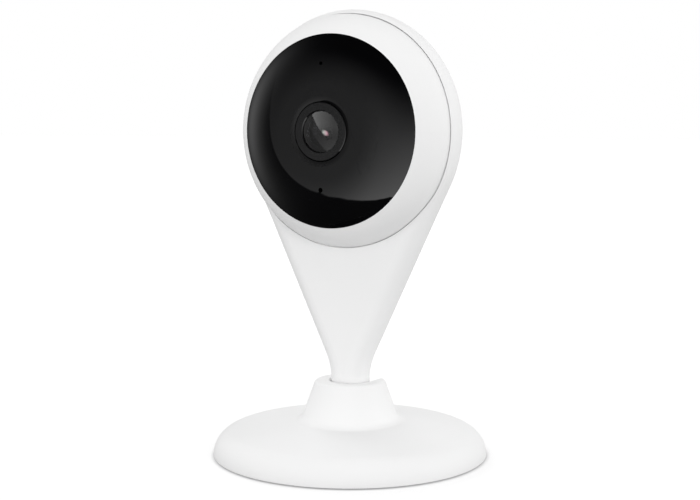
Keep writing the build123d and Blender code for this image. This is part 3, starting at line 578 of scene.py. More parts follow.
@dataclass(frozen=True)
class Screws:
    """A group of equal cross-recessed screws that stand for one CAD node.

    The recess's reach and width are shares of the head's radius, its depth and the rim's height are shares
    of the head's height, and the ribs' depth is a share of the shank's radius.
    """

    node: str
    body: str
    drive: Drive
    gauge: Gauge
    recess_reach: float = 1.2
    recess_width: float = 0.26
    recess_depth: float = 0.62
    rim_height: float = 0.7
    rib_depth: float = 0.16
    rib_pitch: float = 0.45 * MM
    head_sides: int = 40
    head_rings: int = 5
    shank_sides: int = 20
    shank_rings: int = 28

    def build(self, nodes: Nodes) -> None:
        """Measures the node's solids and grows a screw on each.

        Args:
            nodes: The frame's node objects by name.
        """
        height, shank = self.gauge.value
        boxes = solids_of(nodes[self.node])
        seats = []
        for low, high in boxes:
            middle = (low + high) / 2
            if self.drive is Drive.UP:
                middle.z = low.z + height
            elif self.drive is Drive.FORWARD:
                middle.y = high.y - height
            else:
                middle.y = low.y + height
            seats.append(middle)
        size = boxes[0][1] - boxes[0][0]
        along = size.z if self.drive is Drive.UP else size.y
        head = size.x / 2
        sizes = {
            "Head radius": head,
            "Head height": height,
            "Shank radius": shank,
            "Shank length": along - height,
            "Recess reach": self.recess_reach * head,
            "Recess width": self.recess_width * head,
            "Recess depth": self.recess_depth * height,
        }
        tree = bpy.data.node_groups.get("cross_recessed_screws") or self.tree(list(sizes))
        piece = grow(f"{self.node}_recessed", tree, seats, sizes, self.drive.value, ZINC_STEEL)
        keep(piece, self.body, ZINC_STEEL, self.node)

    def tree(self, names: Sequence[str]) -> bpy.types.NodeTree:
        """Builds the screw: its shank runs along +Z from the point, and its head lies below.

        Args:
            names: Names of the sizes.

        Returns:
            The Geometry Nodes tree.
        """
        tree, given = new_tree("cross_recessed_screws", names)
        spot = add_node(tree, "GeometryNodeInputPosition")
        parts = add_node(tree, "ShaderNodeSeparateXYZ", {0: spot}).outputs
        flat = add_node(tree, "ShaderNodeCombineXYZ", {0: parts[0], 1: parts[1]})
        head = self.head(tree, given, parts[2], flat)
        shank = self.shank(tree, given, parts[2], flat)
        whole = add_node(tree, "GeometryNodeJoinGeometry", {"Geometry": [head, shank]})
        end_tree(tree, given, whole, SCREW_SEED)
        return tree

    def head(
        self, tree: bpy.types.NodeTree, given: bpy.types.Node, along: Source, flat: Source
    ) -> bpy.types.Node:
        """Builds the low domed head with its cross recess.

        Args:
            tree: The tree.
            given: Its input node.
            along: How far a point lies along the screw.
            flat: The point's place across the screw.

        Returns:
            The node that makes the head.
        """
        value = given.outputs
        height = value["Head height"]
        rim = add_node(tree, "ShaderNodeMath", {0: height, 1: self.rim_height}, operation="MULTIPLY")
        half = add_node(tree, "ShaderNodeMath", {0: rim, 1: -0.5}, operation="MULTIPLY")
        crown = add_node(tree, "ShaderNodeMath", {0: height, 1: self.rim_height - 1}, operation="MULTIPLY")
        disc = {
            "Vertices": self.head_sides,
            "Side Segments": 1,
            "Fill Segments": self.head_rings,
            "Radius": value["Head radius"],
            "Depth": rim,
        }
        plain = add_node(tree, "GeometryNodeMeshCylinder", disc, fill_type="TRIANGLE_FAN")
        reach = add_node(tree, "ShaderNodeVectorMath", {0: flat}, operation="LENGTH").outputs["Value"]
        share = add_node(tree, "ShaderNodeMath", {0: reach, 1: value["Head radius"]}, operation="DIVIDE")
        square = add_node(tree, "ShaderNodeMath", {0: share, 1: 2.0}, operation="POWER")
        left = add_node(tree, "ShaderNodeMath", {0: 1.0, 1: square}, operation="SUBTRACT")
        outward = add_node(tree, "ShaderNodeMath", {0: left, 1: crown}, operation="MULTIPLY")
        below = add_node(tree, "ShaderNodeMath", {0: along, 1: 0.0}, operation="LESS_THAN")
        bulge = add_node(tree, "ShaderNodeCombineXYZ", {2: outward})
        dome = {"Geometry": plain, "Selection": below, "Offset": bulge}
        domed = add_node(tree, "GeometryNodeSetPosition", dome)
        sunk = add_node(tree, "ShaderNodeCombineXYZ", {2: half})
        seated = add_node(tree, "GeometryNodeTransform", {"Geometry": domed, "Translation": sunk})
        top = add_node(tree, "ShaderNodeMath", {0: height, 1: -1.0}, operation="MULTIPLY")
        low = add_node(tree, "ShaderNodeCombineXYZ", {2: top})
        deep = add_node(tree, "ShaderNodeMath", {0: value["Recess depth"], 1: 2.0}, operation="MULTIPLY")
        wings = []
        for long_side, short_side in ((0, 1), (1, 0)):
            edges = {long_side: value["Recess reach"], short_side: value["Recess width"], 2: deep}
            size = add_node(tree, "ShaderNodeCombineXYZ", edges)
            box = add_node(tree, "GeometryNodeMeshCube", {"Size": size})
            wings.append(add_node(tree, "GeometryNodeTransform", {"Geometry": box, "Translation": low}))
        cut = {"Mesh 1": seated, "Mesh 2": wings}
        return add_node(tree, "GeometryNodeMeshBoolean", cut, operation="DIFFERENCE", solver="EXACT")

    def shank(
        self, tree: bpy.types.NodeTree, given: bpy.types.Node, along: Source, flat: Source
    ) -> bpy.types.Node:
        """Builds the ribbed shank.

        Args:
            tree: The tree.
            given: Its input node.
            along: How far a point lies along the screw.
            flat: The point's place across the screw.

        Returns:
            The node that makes the shank.
        """
        value = given.outputs
        rod = {
            "Vertices": self.shank_sides,
            "Side Segments": self.shank_rings,
            "Fill Segments": 1,
            "Radius": value["Shank radius"],
            "Depth": value["Shank length"],
        }
        plain = add_node(tree, "GeometryNodeMeshCylinder", rod)
        ribs = math.tau / self.rib_pitch
        phase = add_node(tree, "ShaderNodeMath", {0: along, 1: ribs}, operation="MULTIPLY")
        ripple = add_node(tree, "ShaderNodeMath", {0: phase}, operation="SINE")
        narrow = add_node(tree, "ShaderNodeMapRange", Ramp(-1.0, 1.0, -self.rib_depth, 0.0).inputs(ripple))
        inward = add_node(tree, "ShaderNodeVectorMath", {0: flat, "Scale": narrow}, operation="SCALE")
        ribbed = add_node(tree, "GeometryNodeSetPosition", {"Geometry": plain, "Offset": inward})
        half = add_node(tree, "ShaderNodeMath", {0: value["Shank length"], 1: 0.5}, operation="MULTIPLY")
        lift = add_node(tree, "ShaderNodeCombineXYZ", {2: half})
        return add_node(tree, "GeometryNodeTransform", {"Geometry": ribbed, "Translation": lift})


def blank_paper(name: str, mesh: bpy.types.Mesh) -> bpy.types.NodeTree:
    """Gives a stage mesh a material with an empty tree.

    Args:
        name: The material's name.
        mesh: The stage mesh.

    Returns:
        The empty tree.
    """
    paper = bpy.data.materials.new(name)
    paper.use_nodes = True
    paper.node_tree.nodes.clear()
    mesh.materials.append(paper)
    return paper.node_tree


def leave_to_mirrors(card: bpy.types.Object) -> None:
    """Centres a stage piece on the lens axis and leaves it to mirrors and glass alone.

    Args:
        card: The stage piece.
    """
    card.location = (0.0, 0.0, LENS_AXIS_Z)
    card.visible_camera = False
    card.visible_diffuse = False
    card.visible_shadow = False
    card.visible_volume_scatter = False


@dataclass(frozen=True)
class Lamp:
    """A square soft lamp that mirrors don't show."""

    name: str
    spot: Way
    size: float
    watts: float

    def hang(self, target: Vector) -> None:
        """Hangs the lamp and aims it.

        Args:
            target: The point that it looks at.
        """
        lamp = bpy.data.lights.new(self.name, "AREA")
        lamp.size = self.size
        lamp.energy = self.watts
        holder = link(self.name, lamp)
        holder.location = self.spot
        holder.rotation_euler = (target - Vector(self.spot)).to_track_quat("-Z", "Y").to_euler()
        holder.visible_glossy = False


@dataclass(frozen=True)
class CatchCard:
    """A glowing gauze, about a metre from the lens, that only the lens glass mirrors.

    The corners are bearings and heights in degrees, as the lens sees them. The glow changes from side to
    side and, where a rise is given, from bottom to top.
    """

    name: str
    corners: tuple[tuple[float, float], ...]
    glow: Ramp
    rise: Ramp | None = None

    def points(self) -> list[Way]:
        """Works out where the corners are.

        Returns:
            The corners, seen from the lens.
        """
        points = []
        for bearing, lift in self.corners:
            turn, rise = math.radians(bearing), math.radians(lift)
            reach = math.cos(rise)
            points.append((math.sin(turn) * reach, -math.cos(turn) * reach, math.sin(rise)))
        return points

    def hang(self, receivers: bpy.types.Collection) -> None:
        """Hangs the card before the lens.

        Args:
            receivers: The objects that it lights.
        """
        points = self.points()
        mesh = bpy.data.meshes.new(self.name)
        mesh.from_pydata(points, [], [tuple(range(len(points)))])
        tree = blank_paper(f"{self.name}_gauze", mesh)
        place = add_node(tree, "ShaderNodeTexCoord").outputs["Object"]
        glow = add_node(tree, "ShaderNodeEmission", self.light(tree, place))
        clear = add_node(tree, "ShaderNodeBsdfTransparent")
        gauze = add_node(tree, "ShaderNodeAddShader", {0: glow, 1: clear})
        add_node(tree, "ShaderNodeOutputMaterial", {"Surface": gauze})
        card = link(self.name, mesh)
        card.light_linking.receiver_collection = receivers
        card.visible_transmission = False
        leave_to_mirrors(card)

    def light(self, tree: bpy.types.NodeTree, place: bpy.types.NodeSocket) -> dict[str, object]:
        """Wires the glow.

        Args:
            tree: The card's tree.
            place: Object coordinates.

        Returns:
            The glow's colour and strength.
        """
        parts = add_node(tree, "ShaderNodeSeparateXYZ", {0: place}).outputs
        level = add_node(tree, "ShaderNodeMapRange", self.glow.inputs(parts[0]))
        if self.rise:
            rise = self.rise.inputs(parts[2])
            fade = add_node(tree, "ShaderNodeMapRange", rise, interpolation_type="SMOOTHSTEP")
            level = add_node(tree, "ShaderNodeMath", {0: level, 1: fade}, operation="MULTIPLY")
        return {"Color": linear("#FFFFFF"), "Strength": level}


@dataclass(frozen=True)
class CatchLamp(CatchCard):
    """A card with one slanted oval spot, whose glow fades outwards and turns from pale green to pink."""

    slant: float = 0.45
    squash: float = 0.58
    tint_reach: float = 0.06
    left_tint: str = "#E6F6EC"
    right_tint: str = "#FFB4CC"

    def light(self, tree: bpy.types.NodeTree, place: bpy.types.NodeSocket) -> dict[str, object]:
        """Wires the spot.

        Args:
            tree: The card's tree.
            place: Object coordinates.

        Returns:
            The spot's colour and strength.
        """
        middle = sum((Vector(point) for point in self.points()), Vector()) / len(self.corners)
        oval = {"Location": middle, "Rotation": (0.0, self.slant, 0.0), "Scale": (1.0, 1.0, self.squash)}
        turned = add_node(tree, "ShaderNodeMapping", {"Vector": place, **oval}, vector_type="TEXTURE")
        apart = add_node(tree, "ShaderNodeVectorMath", {0: turned}, operation="LENGTH").outputs["Value"]
        spot = self.glow.inputs(apart)
        level = add_node(tree, "ShaderNodeMapRange", spot, interpolation_type="SMOOTHSTEP")
        side = add_node(tree, "ShaderNodeSeparateXYZ", {0: place}).outputs[0]
        across = Ramp(middle.x - self.tint_reach, middle.x + self.tint_reach)
        turn = add_node(tree, "ShaderNodeMapRange", across.inputs(side))
        tints = {MIX_FACTOR: turn, MIX_FIRST: linear(self.left_tint), MIX_SECOND: linear(self.right_tint)}
        shade = add_node(tree, "ShaderNodeMix", tints, data_type="RGBA").outputs[MIX_RESULT]
        return {"Color": shade, "Strength": level}


@dataclass
class Room:
    """A dim dome round the object, open at the back, that only mirrors and glass see.

    A pale wall with a slanted edge fills the right and brightens downwards, a soft window shines at the
    left, and a faint table lies below. The ramps follow the aim of a ray from the middle of the dome.
    """

    radius: float = 1.5
    open_from: float = 1.2
    sides: int = 48
    wall_down: Ramp = Ramp(0.73, -1.37, 0.0, 2.18)
    wall_across: Ramp = Ramp(-1.147, 0.02)
    wall_edge: Ramp = Ramp(-0.08, -0.056)
    edge_way: Way = (0.626, -0.474, 0.62)
    window_way: Way = (-0.98, -0.165, 0.107)
    window_focus: float = 9.55
    window_level: float = 0.84
    table: Ramp = Ramp(0.1, -0.2, 0.0, 0.027)

    def build(self) -> None:
        """Sets up the dome."""
        shape = bmesh.new()
        across, up = self.sides, self.sides // 2
        bmesh.ops.create_uvsphere(shape, u_segments=across, v_segments=up, radius=self.radius)
        behind = [vert for vert in shape.verts if vert.co.y > self.open_from]
        bmesh.ops.delete(shape, geom=behind, context="VERTS")
        mesh = bpy.data.meshes.new("dim_room")
        shape.to_mesh(mesh)
        shape.free()
        self.paper(blank_paper("dim_room_walls", mesh))
        leave_to_mirrors(link("dim_room", mesh))

    def paper(self, tree: bpy.types.NodeTree) -> None:
        """Lights the wall, the window and the table.

        Args:
            tree: The dome's empty tree.
        """
        place = add_node(tree, "ShaderNodeTexCoord").outputs["Object"]
        aim = add_node(tree, "ShaderNodeVectorMath", {0: place}, operation="NORMALIZE")
        parts = add_node(tree, "ShaderNodeSeparateXYZ", {0: aim}).outputs
        edge, ahead = (
            add_node(tree, "ShaderNodeVectorMath", {0: aim, 1: way}, operation="DOT_PRODUCT").outputs["Value"]
            for way in (self.edge_way, self.window_way)
        )
        wall = 1.0
        shades = ((self.wall_down, parts[2]), (self.wall_across, parts[0]), (self.wall_edge, edge))
        for ramp, measure in shades:
            limits = ramp.inputs(measure)
            share = add_node(tree, "ShaderNodeMapRange", limits, interpolation_type="SMOOTHSTEP")
            wall = add_node(tree, "ShaderNodeMath", {0: wall, 1: share}, operation="MULTIPLY")
        shown = add_node(tree, "ShaderNodeMath", {0: ahead, 1: 0.0}, operation="MAXIMUM")
        spot = add_node(tree, "ShaderNodeMath", {0: shown, 1: self.window_focus}, operation="POWER")
        window = add_node(tree, "ShaderNodeMath", {0: spot, 1: self.window_level}, operation="MULTIPLY")
        below = self.table.inputs(parts[2])
        table = add_node(tree, "ShaderNodeMapRange", below, interpolation_type="SMOOTHSTEP")
        level = wall
        for more in (window, table):
            level = add_node(tree, "ShaderNodeMath", {0: level, 1: more}, operation="ADD")
        glow = add_node(tree, "ShaderNodeEmission", {"Strength": level})
        add_node(tree, "ShaderNodeOutputMaterial", {"Surface": glow})


@dataclass
class Studio:
    """The pale floor, the soft lamps, the room and cards that polished parts mirror, and the camera.

    The floor's two ramps follow the distance from the middle of the foot: its glow grows a little far away,
    and a painted contact shadow weakens it under the base and just round its edge.
    """

    bearing_deg: float = 29.06
    distance: float = 0.3324
    height: float = 0.0859
    tilt_deg: float = 5.61
    lens_mm: float = 66.43
    sensor_mm: float = 36.0
    nearest: float = 10 * MM
    soft_level: float = 0.825
    floor_reach: float = 6.0
    floor_drop: float = 0.02 * MM
    floor_glow: Ramp = Ramp(0.08, 0.6, 0.45, 0.6)
    # Painted contact shadow: under the base and about a millimetre beyond its edge, the floor's glow drops to
    # 0.55.
    floor_painted_shadow: Ramp = Ramp(0.0352, 0.0368, 0.55, 1.0)
    lamp_target: Way = (0.0, 0.0, 0.06)
    lamps: tuple[Lamp, ...] = (
        Lamp("right_lamp", (0.85, -0.5, 0.2), size=0.4, watts=2.95),
        Lamp("left_lamp", (-0.75, -0.75, 0.2), size=0.4, watts=2.6),
        Lamp("rear_right_lamp", (0.75, 0.5, 0.5), size=0.6, watts=0.7),
        Lamp("rear_left_lamp", (-0.7, 0.55, 0.5), size=0.6, watts=2.3),
    )
    catch_lights: tuple[CatchCard, ...] = (
        CatchCard(
            "soft_box",
            ((-55.4, 27.0), (-15.9, -14.0), (4.0, -16.0), (4.0, 34.0)),
            Ramp(-0.7, -0.15, 2.95, 0.68),
            Ramp(-0.12, 0.14),
        ),
        CatchCard(
            "left_fill",
            ((-75.0, -34.0), (-44.4, -34.0), (-44.4, 36.0), (-75.0, 36.0)),
            Ramp(-0.8, -0.7, 0.0, 0.28),
        ),
        CatchCard(
            "right_fill",
            ((-44.4, -34.0), (10.0, -34.0), (10.0, 36.0), (-44.4, 36.0)),
            Ramp(-0.7, -0.15, 0.28, 0.0),
        ),
        CatchCard(
            "low_card",
            ((-60.0, -34.0), (-12.5, -34.0), (-25.9, -20.0), (-42.1, 0.0), (-60.0, 0.0)),
            Ramp(-0.7, -0.15, 0.0, 0.5),
        ),
        CatchLamp(
            "catch_lamp",
            ((-32.0, -9.6), (-12.2, -9.6), (-12.2, 6.4), (-32.0, 6.4)),
            Ramp(0.105, 0.03, 0.0, 11.0),
        ),
    )

    def build(self, lens_glass: bpy.types.Object) -> None:
        """Sets up everything that isn't part of the object.

        Args:
            lens_glass: The front glass of the lens, which alone mirrors the catch lights.
        """
        bpy.context.scene.view_settings.view_transform = "Standard"
        self.camera()
        self.world()
        self.floor()
        for lamp in self.lamps:
            lamp.hang(Vector(self.lamp_target))
        Room().build()
        receivers = bpy.data.collections.new("lens_glass_alone")
        receivers.objects.link(lens_glass)
        for card in self.catch_lights:
            card.hang(receivers)

    def camera(self) -> None:
        """Places the camera a little above the lens, off to the object's left."""
        data = bpy.data.cameras.new("viewpoint")
        data.lens = self.lens_mm
        data.sensor_width = self.sensor_mm
        data.clip_start = self.nearest
        eye = link("viewpoint", data)
        bearing = math.radians(self.bearing_deg)
        eye.location = (self.distance * math.sin(bearing), -self.distance * math.cos(bearing), self.height)
        eye.rotation_euler = (math.radians(90 - self.tilt_deg), 0.0, bearing)
        bpy.context.scene.camera = eye

    @staticmethod
    def seen(tree: bpy.types.NodeTree) -> Source:
        """Tells which rays show the background: those from the camera, a mirror or a glass.

        Args:
            tree: The tree that asks.

        Returns:
            1 for such a ray and 0 for any other.
        """
        path = add_node(tree, "ShaderNodeLightPath").outputs
        shown = path["Is Camera Ray"]
        for kind in ("Is Glossy Ray", "Is Transmission Ray"):
            shown = add_node(tree, "ShaderNodeMath", {0: shown, 1: path[kind]}, operation="MAXIMUM")
        return shown

    def world(self) -> None:
        """Makes a white surround that lights the object softly."""
        surround = bpy.data.worlds.new("white_surround")
        surround.use_nodes = True
        tree = surround.node_tree
        tree.nodes.clear()
        white = linear("#FFFFFF")
        soft = add_node(tree, "ShaderNodeBackground", {"Color": white, "Strength": self.soft_level})
        full = add_node(tree, "ShaderNodeBackground", {"Color": white, "Strength": 1.0})
        mixed = add_node(tree, "ShaderNodeMixShader", {0: self.seen(tree), 1: soft, 2: full})
        add_node(tree, "ShaderNodeOutputWorld", {"Surface": mixed})
        bpy.context.scene.world = surround

    def floor(self) -> None:
        """Lays a pale paper sweep that stays white where no shadow falls, with a painted contact shadow round
        the base.
        """
        reach, level = self.floor_reach, -self.floor_drop
        corners = [(reach * x, reach * y, level) for x, y in ((-1, -1), (1, -1), (1, 1), (-1, 1))]
        mesh = bpy.data.meshes.new("floor")
        mesh.from_pydata(corners, [], [(0, 1, 2, 3)])
        tree = blank_paper("pale_paper_sweep", mesh)
        place = add_node(tree, "ShaderNodeTexCoord").outputs["Object"]
        away = add_node(tree, "ShaderNodeVectorMath", {0: place}, operation="LENGTH").outputs["Value"]
        lift = add_node(tree, "ShaderNodeMapRange", self.floor_glow.inputs(away))
        # Painted contact shadow: the glow is cut in a ring under and round the edge of the base, which
        # darkens the floor there.
        painted_shadow_limits = self.floor_painted_shadow.inputs(away)
        painted_shadow = add_node(tree, "ShaderNodeMapRange", painted_shadow_limits, interpolation_type="SMOOTHSTEP")
        strength = add_node(tree, "ShaderNodeMath", {0: lift, 1: painted_shadow}, operation="MULTIPLY")
        matt = add_node(tree, "ShaderNodeBsdfDiffuse", {"Color": linear("#B0B0B0")})
        pale = add_node(tree, "ShaderNodeBsdfDiffuse", {"Color": linear("#C8C8C8")})
        glow = add_node(tree, "ShaderNodeEmission", {"Strength": strength})
        bright = add_node(tree, "ShaderNodeAddShader", {0: pale, 1: glow})
        mixed = add_node(tree, "ShaderNodeMixShader", {0: self.seen(tree), 1: matt, 2: bright})
        add_node(tree, "ShaderNodeOutputMaterial", {"Surface": mixed})
        sheet = link("floor", mesh)
        sheet.visible_glossy = False


@dataclass
class Base:
    """The weighted round base with its collar and tilt hinge."""

    nodes: Nodes
    cover_screw: Gauge = Gauge.SMALL
    bracket_screw: Gauge = Gauge.LARGE

    def build(self) -> None:
        """Adds the screws."""
        Screws("base_screws", "base", Drive.UP, self.cover_screw).build(self.nodes)
        Screws("bracket_screws", "base", Drive.UP, self.bracket_screw).build(self.nodes)

    def dress(self) -> None:
        """Finishes the CAD nodes of the base."""
        dress(
            self.nodes,
            {
                "base_shell": WHITE_ABS,
                "base_bottom": GREY_ABS,
                "base_weight": ZINC_STEEL,
                "foot_pad": GREY_RUBBER,
                "hinge_bracket": TINNED_SHEET,
                "hinge_pin": ZINC_STEEL,
                "pin_clip": ZINC_STEEL,
                "friction_washers": BLACK_RUBBER,
            },
        )
        # Mirrors leave the white base out, so that the black window stays dark down to its lower edge.
        self.nodes["base_shell"].visible_glossy = False


@dataclass
class Body:
    """The drop-shaped shell, its front and its cover at the back, and the knuckle in its neck."""

    nodes: Nodes
    neck_screw: Gauge = Gauge.SMALL
    housing_screw: Gauge = Gauge.LARGE

    def build(self) -> None:
        """Adds the screws of the neck and the housing."""
        Screws("neck_screws", "head", Drive.FORWARD, self.neck_screw).build(self.nodes)
        Screws("housing_screws", "head", Drive.FORWARD, self.housing_screw).build(self.nodes)

    def dress(self) -> None:
        """Finishes the CAD nodes of the body."""
        dress(
            self.nodes,
            {
                "body_shell": WHITE_ABS,
                "rear_cover": WHITE_ABS,
                "front_bezel": WHITE_ABS,
                "hinge_knuckle": CAST_ZINC,
                "window_seal": BLACK_RUBBER,
                "front_window": BLACK_ACRYLIC,
            },
        )


@dataclass
class LensUnit:
    """The lens with its trim ring, glasses, holder and sliding filter."""

    nodes: Nodes
    crown_radius: float = 5.07 * MM
    crown_bulge: float = 0.55 * MM
    crown_lift: float = 0.93 * MM
    crown_edge: float = 0.9 * MM
    hollow_radius: float = 3.8 * MM
    hollow_depth: float = 0.5 * MM
    stop_hole: float = 1.7 * MM
    stop_edge: float = 0.12 * MM
    stop_flare: float = 0.48 * MM
    spacer_wall: float = 0.5 * MM
    arc_steps: int = 24
    holder_screw: Gauge = Gauge.SMALL
    crown: bpy.types.Object | None = None

    def build(self) -> None:
        """Adds the crowned front glass, the aperture stop between two glasses, and the holder's screws."""
        low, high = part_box("lens_elements")
        centre = Vector(((low.x + high.x) / 2, 0.0, (low.z + high.z) / 2))
        front, middle, _ = sorted(solids_of(self.nodes["lens_elements"]), key=lambda box: box[0].y)
        seat = (front[1].y + middle[0].y) / 2
        spacer_low, spacer_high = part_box("lens_spacers")
        rim = (spacer_high.x - spacer_low.x) / 2 - self.spacer_wall
        profile = [
            (self.stop_hole, seat),
            (self.stop_hole + self.stop_edge, seat - self.stop_edge),
            (rim, seat - self.stop_flare),
            (rim, seat + self.stop_edge),
            (self.stop_hole + self.stop_edge, seat + self.stop_edge),
        ]
        self.crown = self.front_glass(centre)
        stop = lathe("lens_stop", profile, BARREL_BLACK, centre)
        keep(stop, "head", BARREL_BLACK)
        Screws("holder_screws", "head", Drive.FORWARD, self.holder_screw).build(self.nodes)

    def front_glass(self, centre: Vector) -> bpy.types.Object:
        """Turns the front glass, whose polished crown stands nearly level with the trim ring.

        Args:
            centre: A point on the lens axis, at depth 0.

        Returns:
            The glass, in place of the plain CAD one.
        """
        low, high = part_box("lens_front_glass")
        rim = (high.x - low.x) / 2
        shoulder = high.y - self.crown_edge
        profile = self.arc(self.crown_radius, self.crown_bulge, low.y - self.crown_lift)
        profile += [(self.crown_radius, shoulder), (rim, shoulder), (rim, high.y)]
        profile += reversed(self.arc(self.hollow_radius, self.hollow_depth, high.y - self.hollow_depth))
        glass = lathe("lens_crown_glass", profile, COATED_GLASS, centre)
        keep(glass, "head", COATED_GLASS, "lens_front_glass")
        return glass

    def arc(self, reach: float, sag: float, top: float) -> list[tuple[float, float]]:
        """Draws a ball-shaped face from the axis out to its edge.

        Args:
            reach: The radius of the edge.
            sag: How far the edge lies behind the middle.
            top: The depth of the middle.

        Returns:
            Radius and depth of each point.
        """
        ball = (reach * reach + sag * sag) / (2 * sag)
        points = []
        for step in range(self.arc_steps + 1):
            radius = reach * step / self.arc_steps
            points.append((radius, top + ball - math.sqrt(ball * ball - radius * radius)))
        return points

    def dress(self) -> None:
        """Finishes the CAD nodes of the lens."""
        dress(
            self.nodes,
            {
                "lens_ring": BLACK_ANODISED,
                "lens_barrel": BARREL_BLACK,
                "lens_elements": INNER_GLASS,
                "lens_spacers": BARREL_BLACK,
                "lens_holder": BLACK_PLASTIC,
                "filter_slider": BLACK_PLASTIC,
                "filter_glasses": INNER_GLASS,
                "filter_retainer": TINNED_SHEET,
                "filter_coil": BLACK_PLASTIC,
                "image_sensor": CHIP_RESIN,
            },
        )


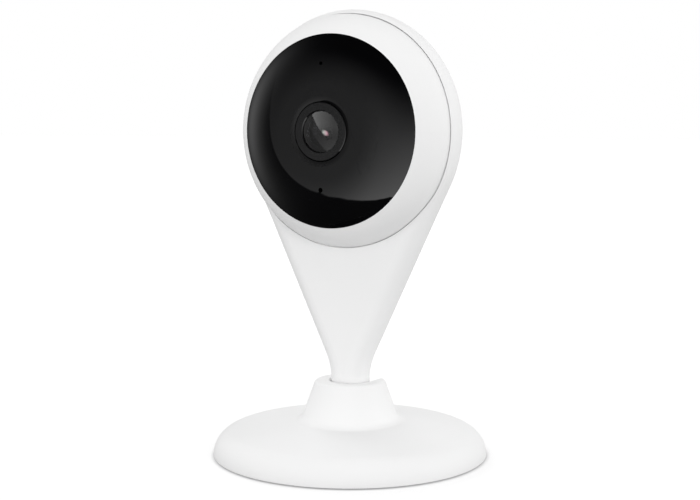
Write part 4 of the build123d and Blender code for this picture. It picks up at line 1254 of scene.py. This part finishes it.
@dataclass
class Fittings:
    """The power inlet, the set button and the loudspeaker at the back, and the card socket at the side.

    The loudspeaker's magnet, waist, flange, surround, bead and cap are shares of its radius.
    """

    nodes: Nodes
    mesh_margin: float = 1.5 * MM
    mesh_pitch: float = 0.36 * MM
    mesh_setback: float = 0.25 * MM
    strand_radius: float = 0.055 * MM
    strand_sides: int = 4
    magnet: float = 0.72
    waist: float = 0.75
    flange: float = 0.82
    surround: float = 0.75
    bead: float = 0.07
    cap: float = 0.34
    magnet_depth: float = 1.6 * MM
    flange_depth: float = 2.2 * MM
    surround_setback: float = 0.7 * MM
    cap_setback: float = 1.9 * MM
    cap_bulge: float = 0.9 * MM
    arc_steps: int = 8
    contact_count: int = 5
    contact_pitch: float = 0.65 * MM
    contact_width: float = 0.34 * MM
    contact_height: float = 0.08 * MM
    contact_length: float = 4.0 * MM
    tongue_setback: float = 1.1 * MM

    def build(self) -> None:
        """Adds the dust mesh, the loudspeaker and the contacts."""
        self.dust_mesh()
        self.loudspeaker()
        self.contacts()

    def dust_mesh(self) -> None:
        """Stretches a nylon mesh over the gasket behind the grille."""
        low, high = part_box("speaker_gasket")
        radius = (high.x - low.x) / 2 - self.mesh_margin
        sizes = {"Radius": radius, "Pitch": self.mesh_pitch, "Strand radius": self.strand_radius}
        tree, given = new_tree("dust_mesh", list(sizes))
        value = given.outputs
        span = add_node(tree, "ShaderNodeMath", {0: value["Radius"], 1: 2.0}, operation="MULTIPLY")
        count = add_node(tree, "ShaderNodeMath", {0: span, 1: value["Pitch"]}, operation="DIVIDE")
        square = {"Size X": span, "Size Y": span, "Vertices X": count, "Vertices Y": count}
        grid = add_node(tree, "GeometryNodeMeshGrid", square)
        spot = add_node(tree, "GeometryNodeInputPosition")
        reach = add_node(tree, "ShaderNodeVectorMath", {0: spot}, operation="LENGTH").outputs["Value"]
        outside = add_node(tree, "ShaderNodeMath", {0: reach, 1: value["Radius"]}, operation="GREATER_THAN")
        disc = add_node(tree, "GeometryNodeDeleteGeometry", {"Geometry": grid, "Selection": outside})
        strands = add_node(tree, "GeometryNodeMeshToCurve", {"Mesh": disc})
        ring = {"Resolution": self.strand_sides, "Radius": value["Strand radius"]}
        section = add_node(tree, "GeometryNodeCurvePrimitiveCircle", ring)
        weave = {"Curve": strands, "Profile Curve": section, "Fill Caps": True}
        end_tree(tree, given, add_node(tree, "GeometryNodeCurveToMesh", weave), 0)
        middle = Vector(((low.x + high.x) / 2, high.y - self.mesh_setback, (low.z + high.z) / 2))
        piece = grow("speaker_dust_mesh", tree, [middle], sizes, Drive.FORWARD.value, NYLON_MESH)
        keep(piece, "head", NYLON_MESH)

    def loudspeaker(self) -> None:
        """Turns the loudspeaker with its basket, surround, cone and dust cap."""
        low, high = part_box("speaker")
        centre = Vector(((low.x + high.x) / 2, 0.0, (low.z + high.z) / 2))
        radius = (high.x - low.x) / 2
        back = high.y
        profile = [(0.0, low.y), (self.magnet * radius, low.y)]
        profile += [(self.waist * radius, low.y + self.magnet_depth), (radius, low.y + self.flange_depth)]
        profile += [(radius, back), (self.flange * radius, back)]
        bead = self.bead * radius
        rest = back - self.surround_setback
        for step in range(self.arc_steps + 1):
            angle = math.pi * step / self.arc_steps
            profile.append((self.surround * radius + bead * math.cos(angle), rest + bead * math.sin(angle)))
        rest = back - self.cap_setback
        for step in range(self.arc_steps):
            angle = math.pi / 2 * step / self.arc_steps
            profile.append((self.cap * radius * math.cos(angle), rest + self.cap_bulge * math.sin(angle)))
        profile.append((0.0, rest + self.cap_bulge))
        piece = lathe("speaker_with_cone", profile, PAPER_CONE, centre)
        keep(piece, "head", PAPER_CONE, "speaker")

    def contacts(self) -> None:
        """Lays gold strips along the tongue of the power inlet."""
        low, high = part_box("usb_socket")
        sizes = {"Width": self.contact_width, "Length": self.contact_length, "Height": self.contact_height}
        tree, given = new_tree("contact_strips", list(sizes))
        edges = {0: given.outputs["Width"], 1: given.outputs["Height"], 2: given.outputs["Length"]}
        size = add_node(tree, "ShaderNodeCombineXYZ", edges)
        end_tree(tree, given, add_node(tree, "GeometryNodeMeshCube", {"Size": size}), 0)
        middle = (low + high) / 2
        first = middle.x - self.contact_pitch * (self.contact_count - 1) / 2
        depth = high.y - self.tongue_setback - self.contact_length / 2
        level = middle.z - self.contact_height / 2
        steps = range(self.contact_count)
        points = [Vector((first + self.contact_pitch * step, depth, level)) for step in steps]
        piece = grow("inlet_contacts", tree, points, sizes, Drive.FORWARD.value, GOLD_FLASH)
        keep(piece, "head", GOLD_FLASH)

    def dress(self) -> None:
        """Finishes the CAD nodes of the fittings."""
        dress(
            self.nodes,
            {
                "usb_socket": TINNED_SHEET,
                "card_socket": TINNED_SHEET,
                "set_button": GREY_ABS,
                "button_switch": BLACK_PLASTIC,
                "speaker_gasket": BLACK_RUBBER,
            },
        )


@dataclass
class Electronics:
    """The boards with their chips, lamps and sensors, closed in by the shells."""

    nodes: Nodes
    board_screw: Gauge = Gauge.SMALL

    def build(self) -> None:
        """Adds the screws of both boards."""
        Screws("board_screws", "head", Drive.BACKWARD, self.board_screw).build(self.nodes)
        Screws("led_screws", "head", Drive.FORWARD, self.board_screw).build(self.nodes)

    def dress(self) -> None:
        """Finishes the CAD nodes of the boards."""
        dress(
            self.nodes,
            {
                "main_board": SOLDER_MASK,
                "led_board": SOLDER_MASK,
                "processor": CHIP_RESIN,
                "thermal_pad": GREY_RUBBER,
                "shield_can": TINNED_SHEET,
                "flash_chip": CHIP_RESIN,
                "wireless_module": TINNED_SHEET,
                "antenna": TINNED_SHEET,
                "infrared_leds": LAMP_RESIN,
                "light_sensor": LAMP_RESIN,
                "light_baffle": BLACK_RUBBER,
                "microphone": TINNED_SHEET,
                "microphone_boot": BLACK_RUBBER,
                "board_link": BLACK_PLASTIC,
            },
        )


def main() -> None:
    """Loads the frame, builds and dresses every sub-assembly, and sets up the studio."""
    logging.basicConfig(level=logging.INFO, format="%(message)s")
    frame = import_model()
    nodes = frame["nodes"]
    lens = LensUnit(nodes)
    for unit in (Base(nodes), Body(nodes), lens, Fittings(nodes), Electronics(nodes)):
        unit.build()
        unit.dress()
    Studio().build(lens.crown)


if __name__ == "__main__":
    main()
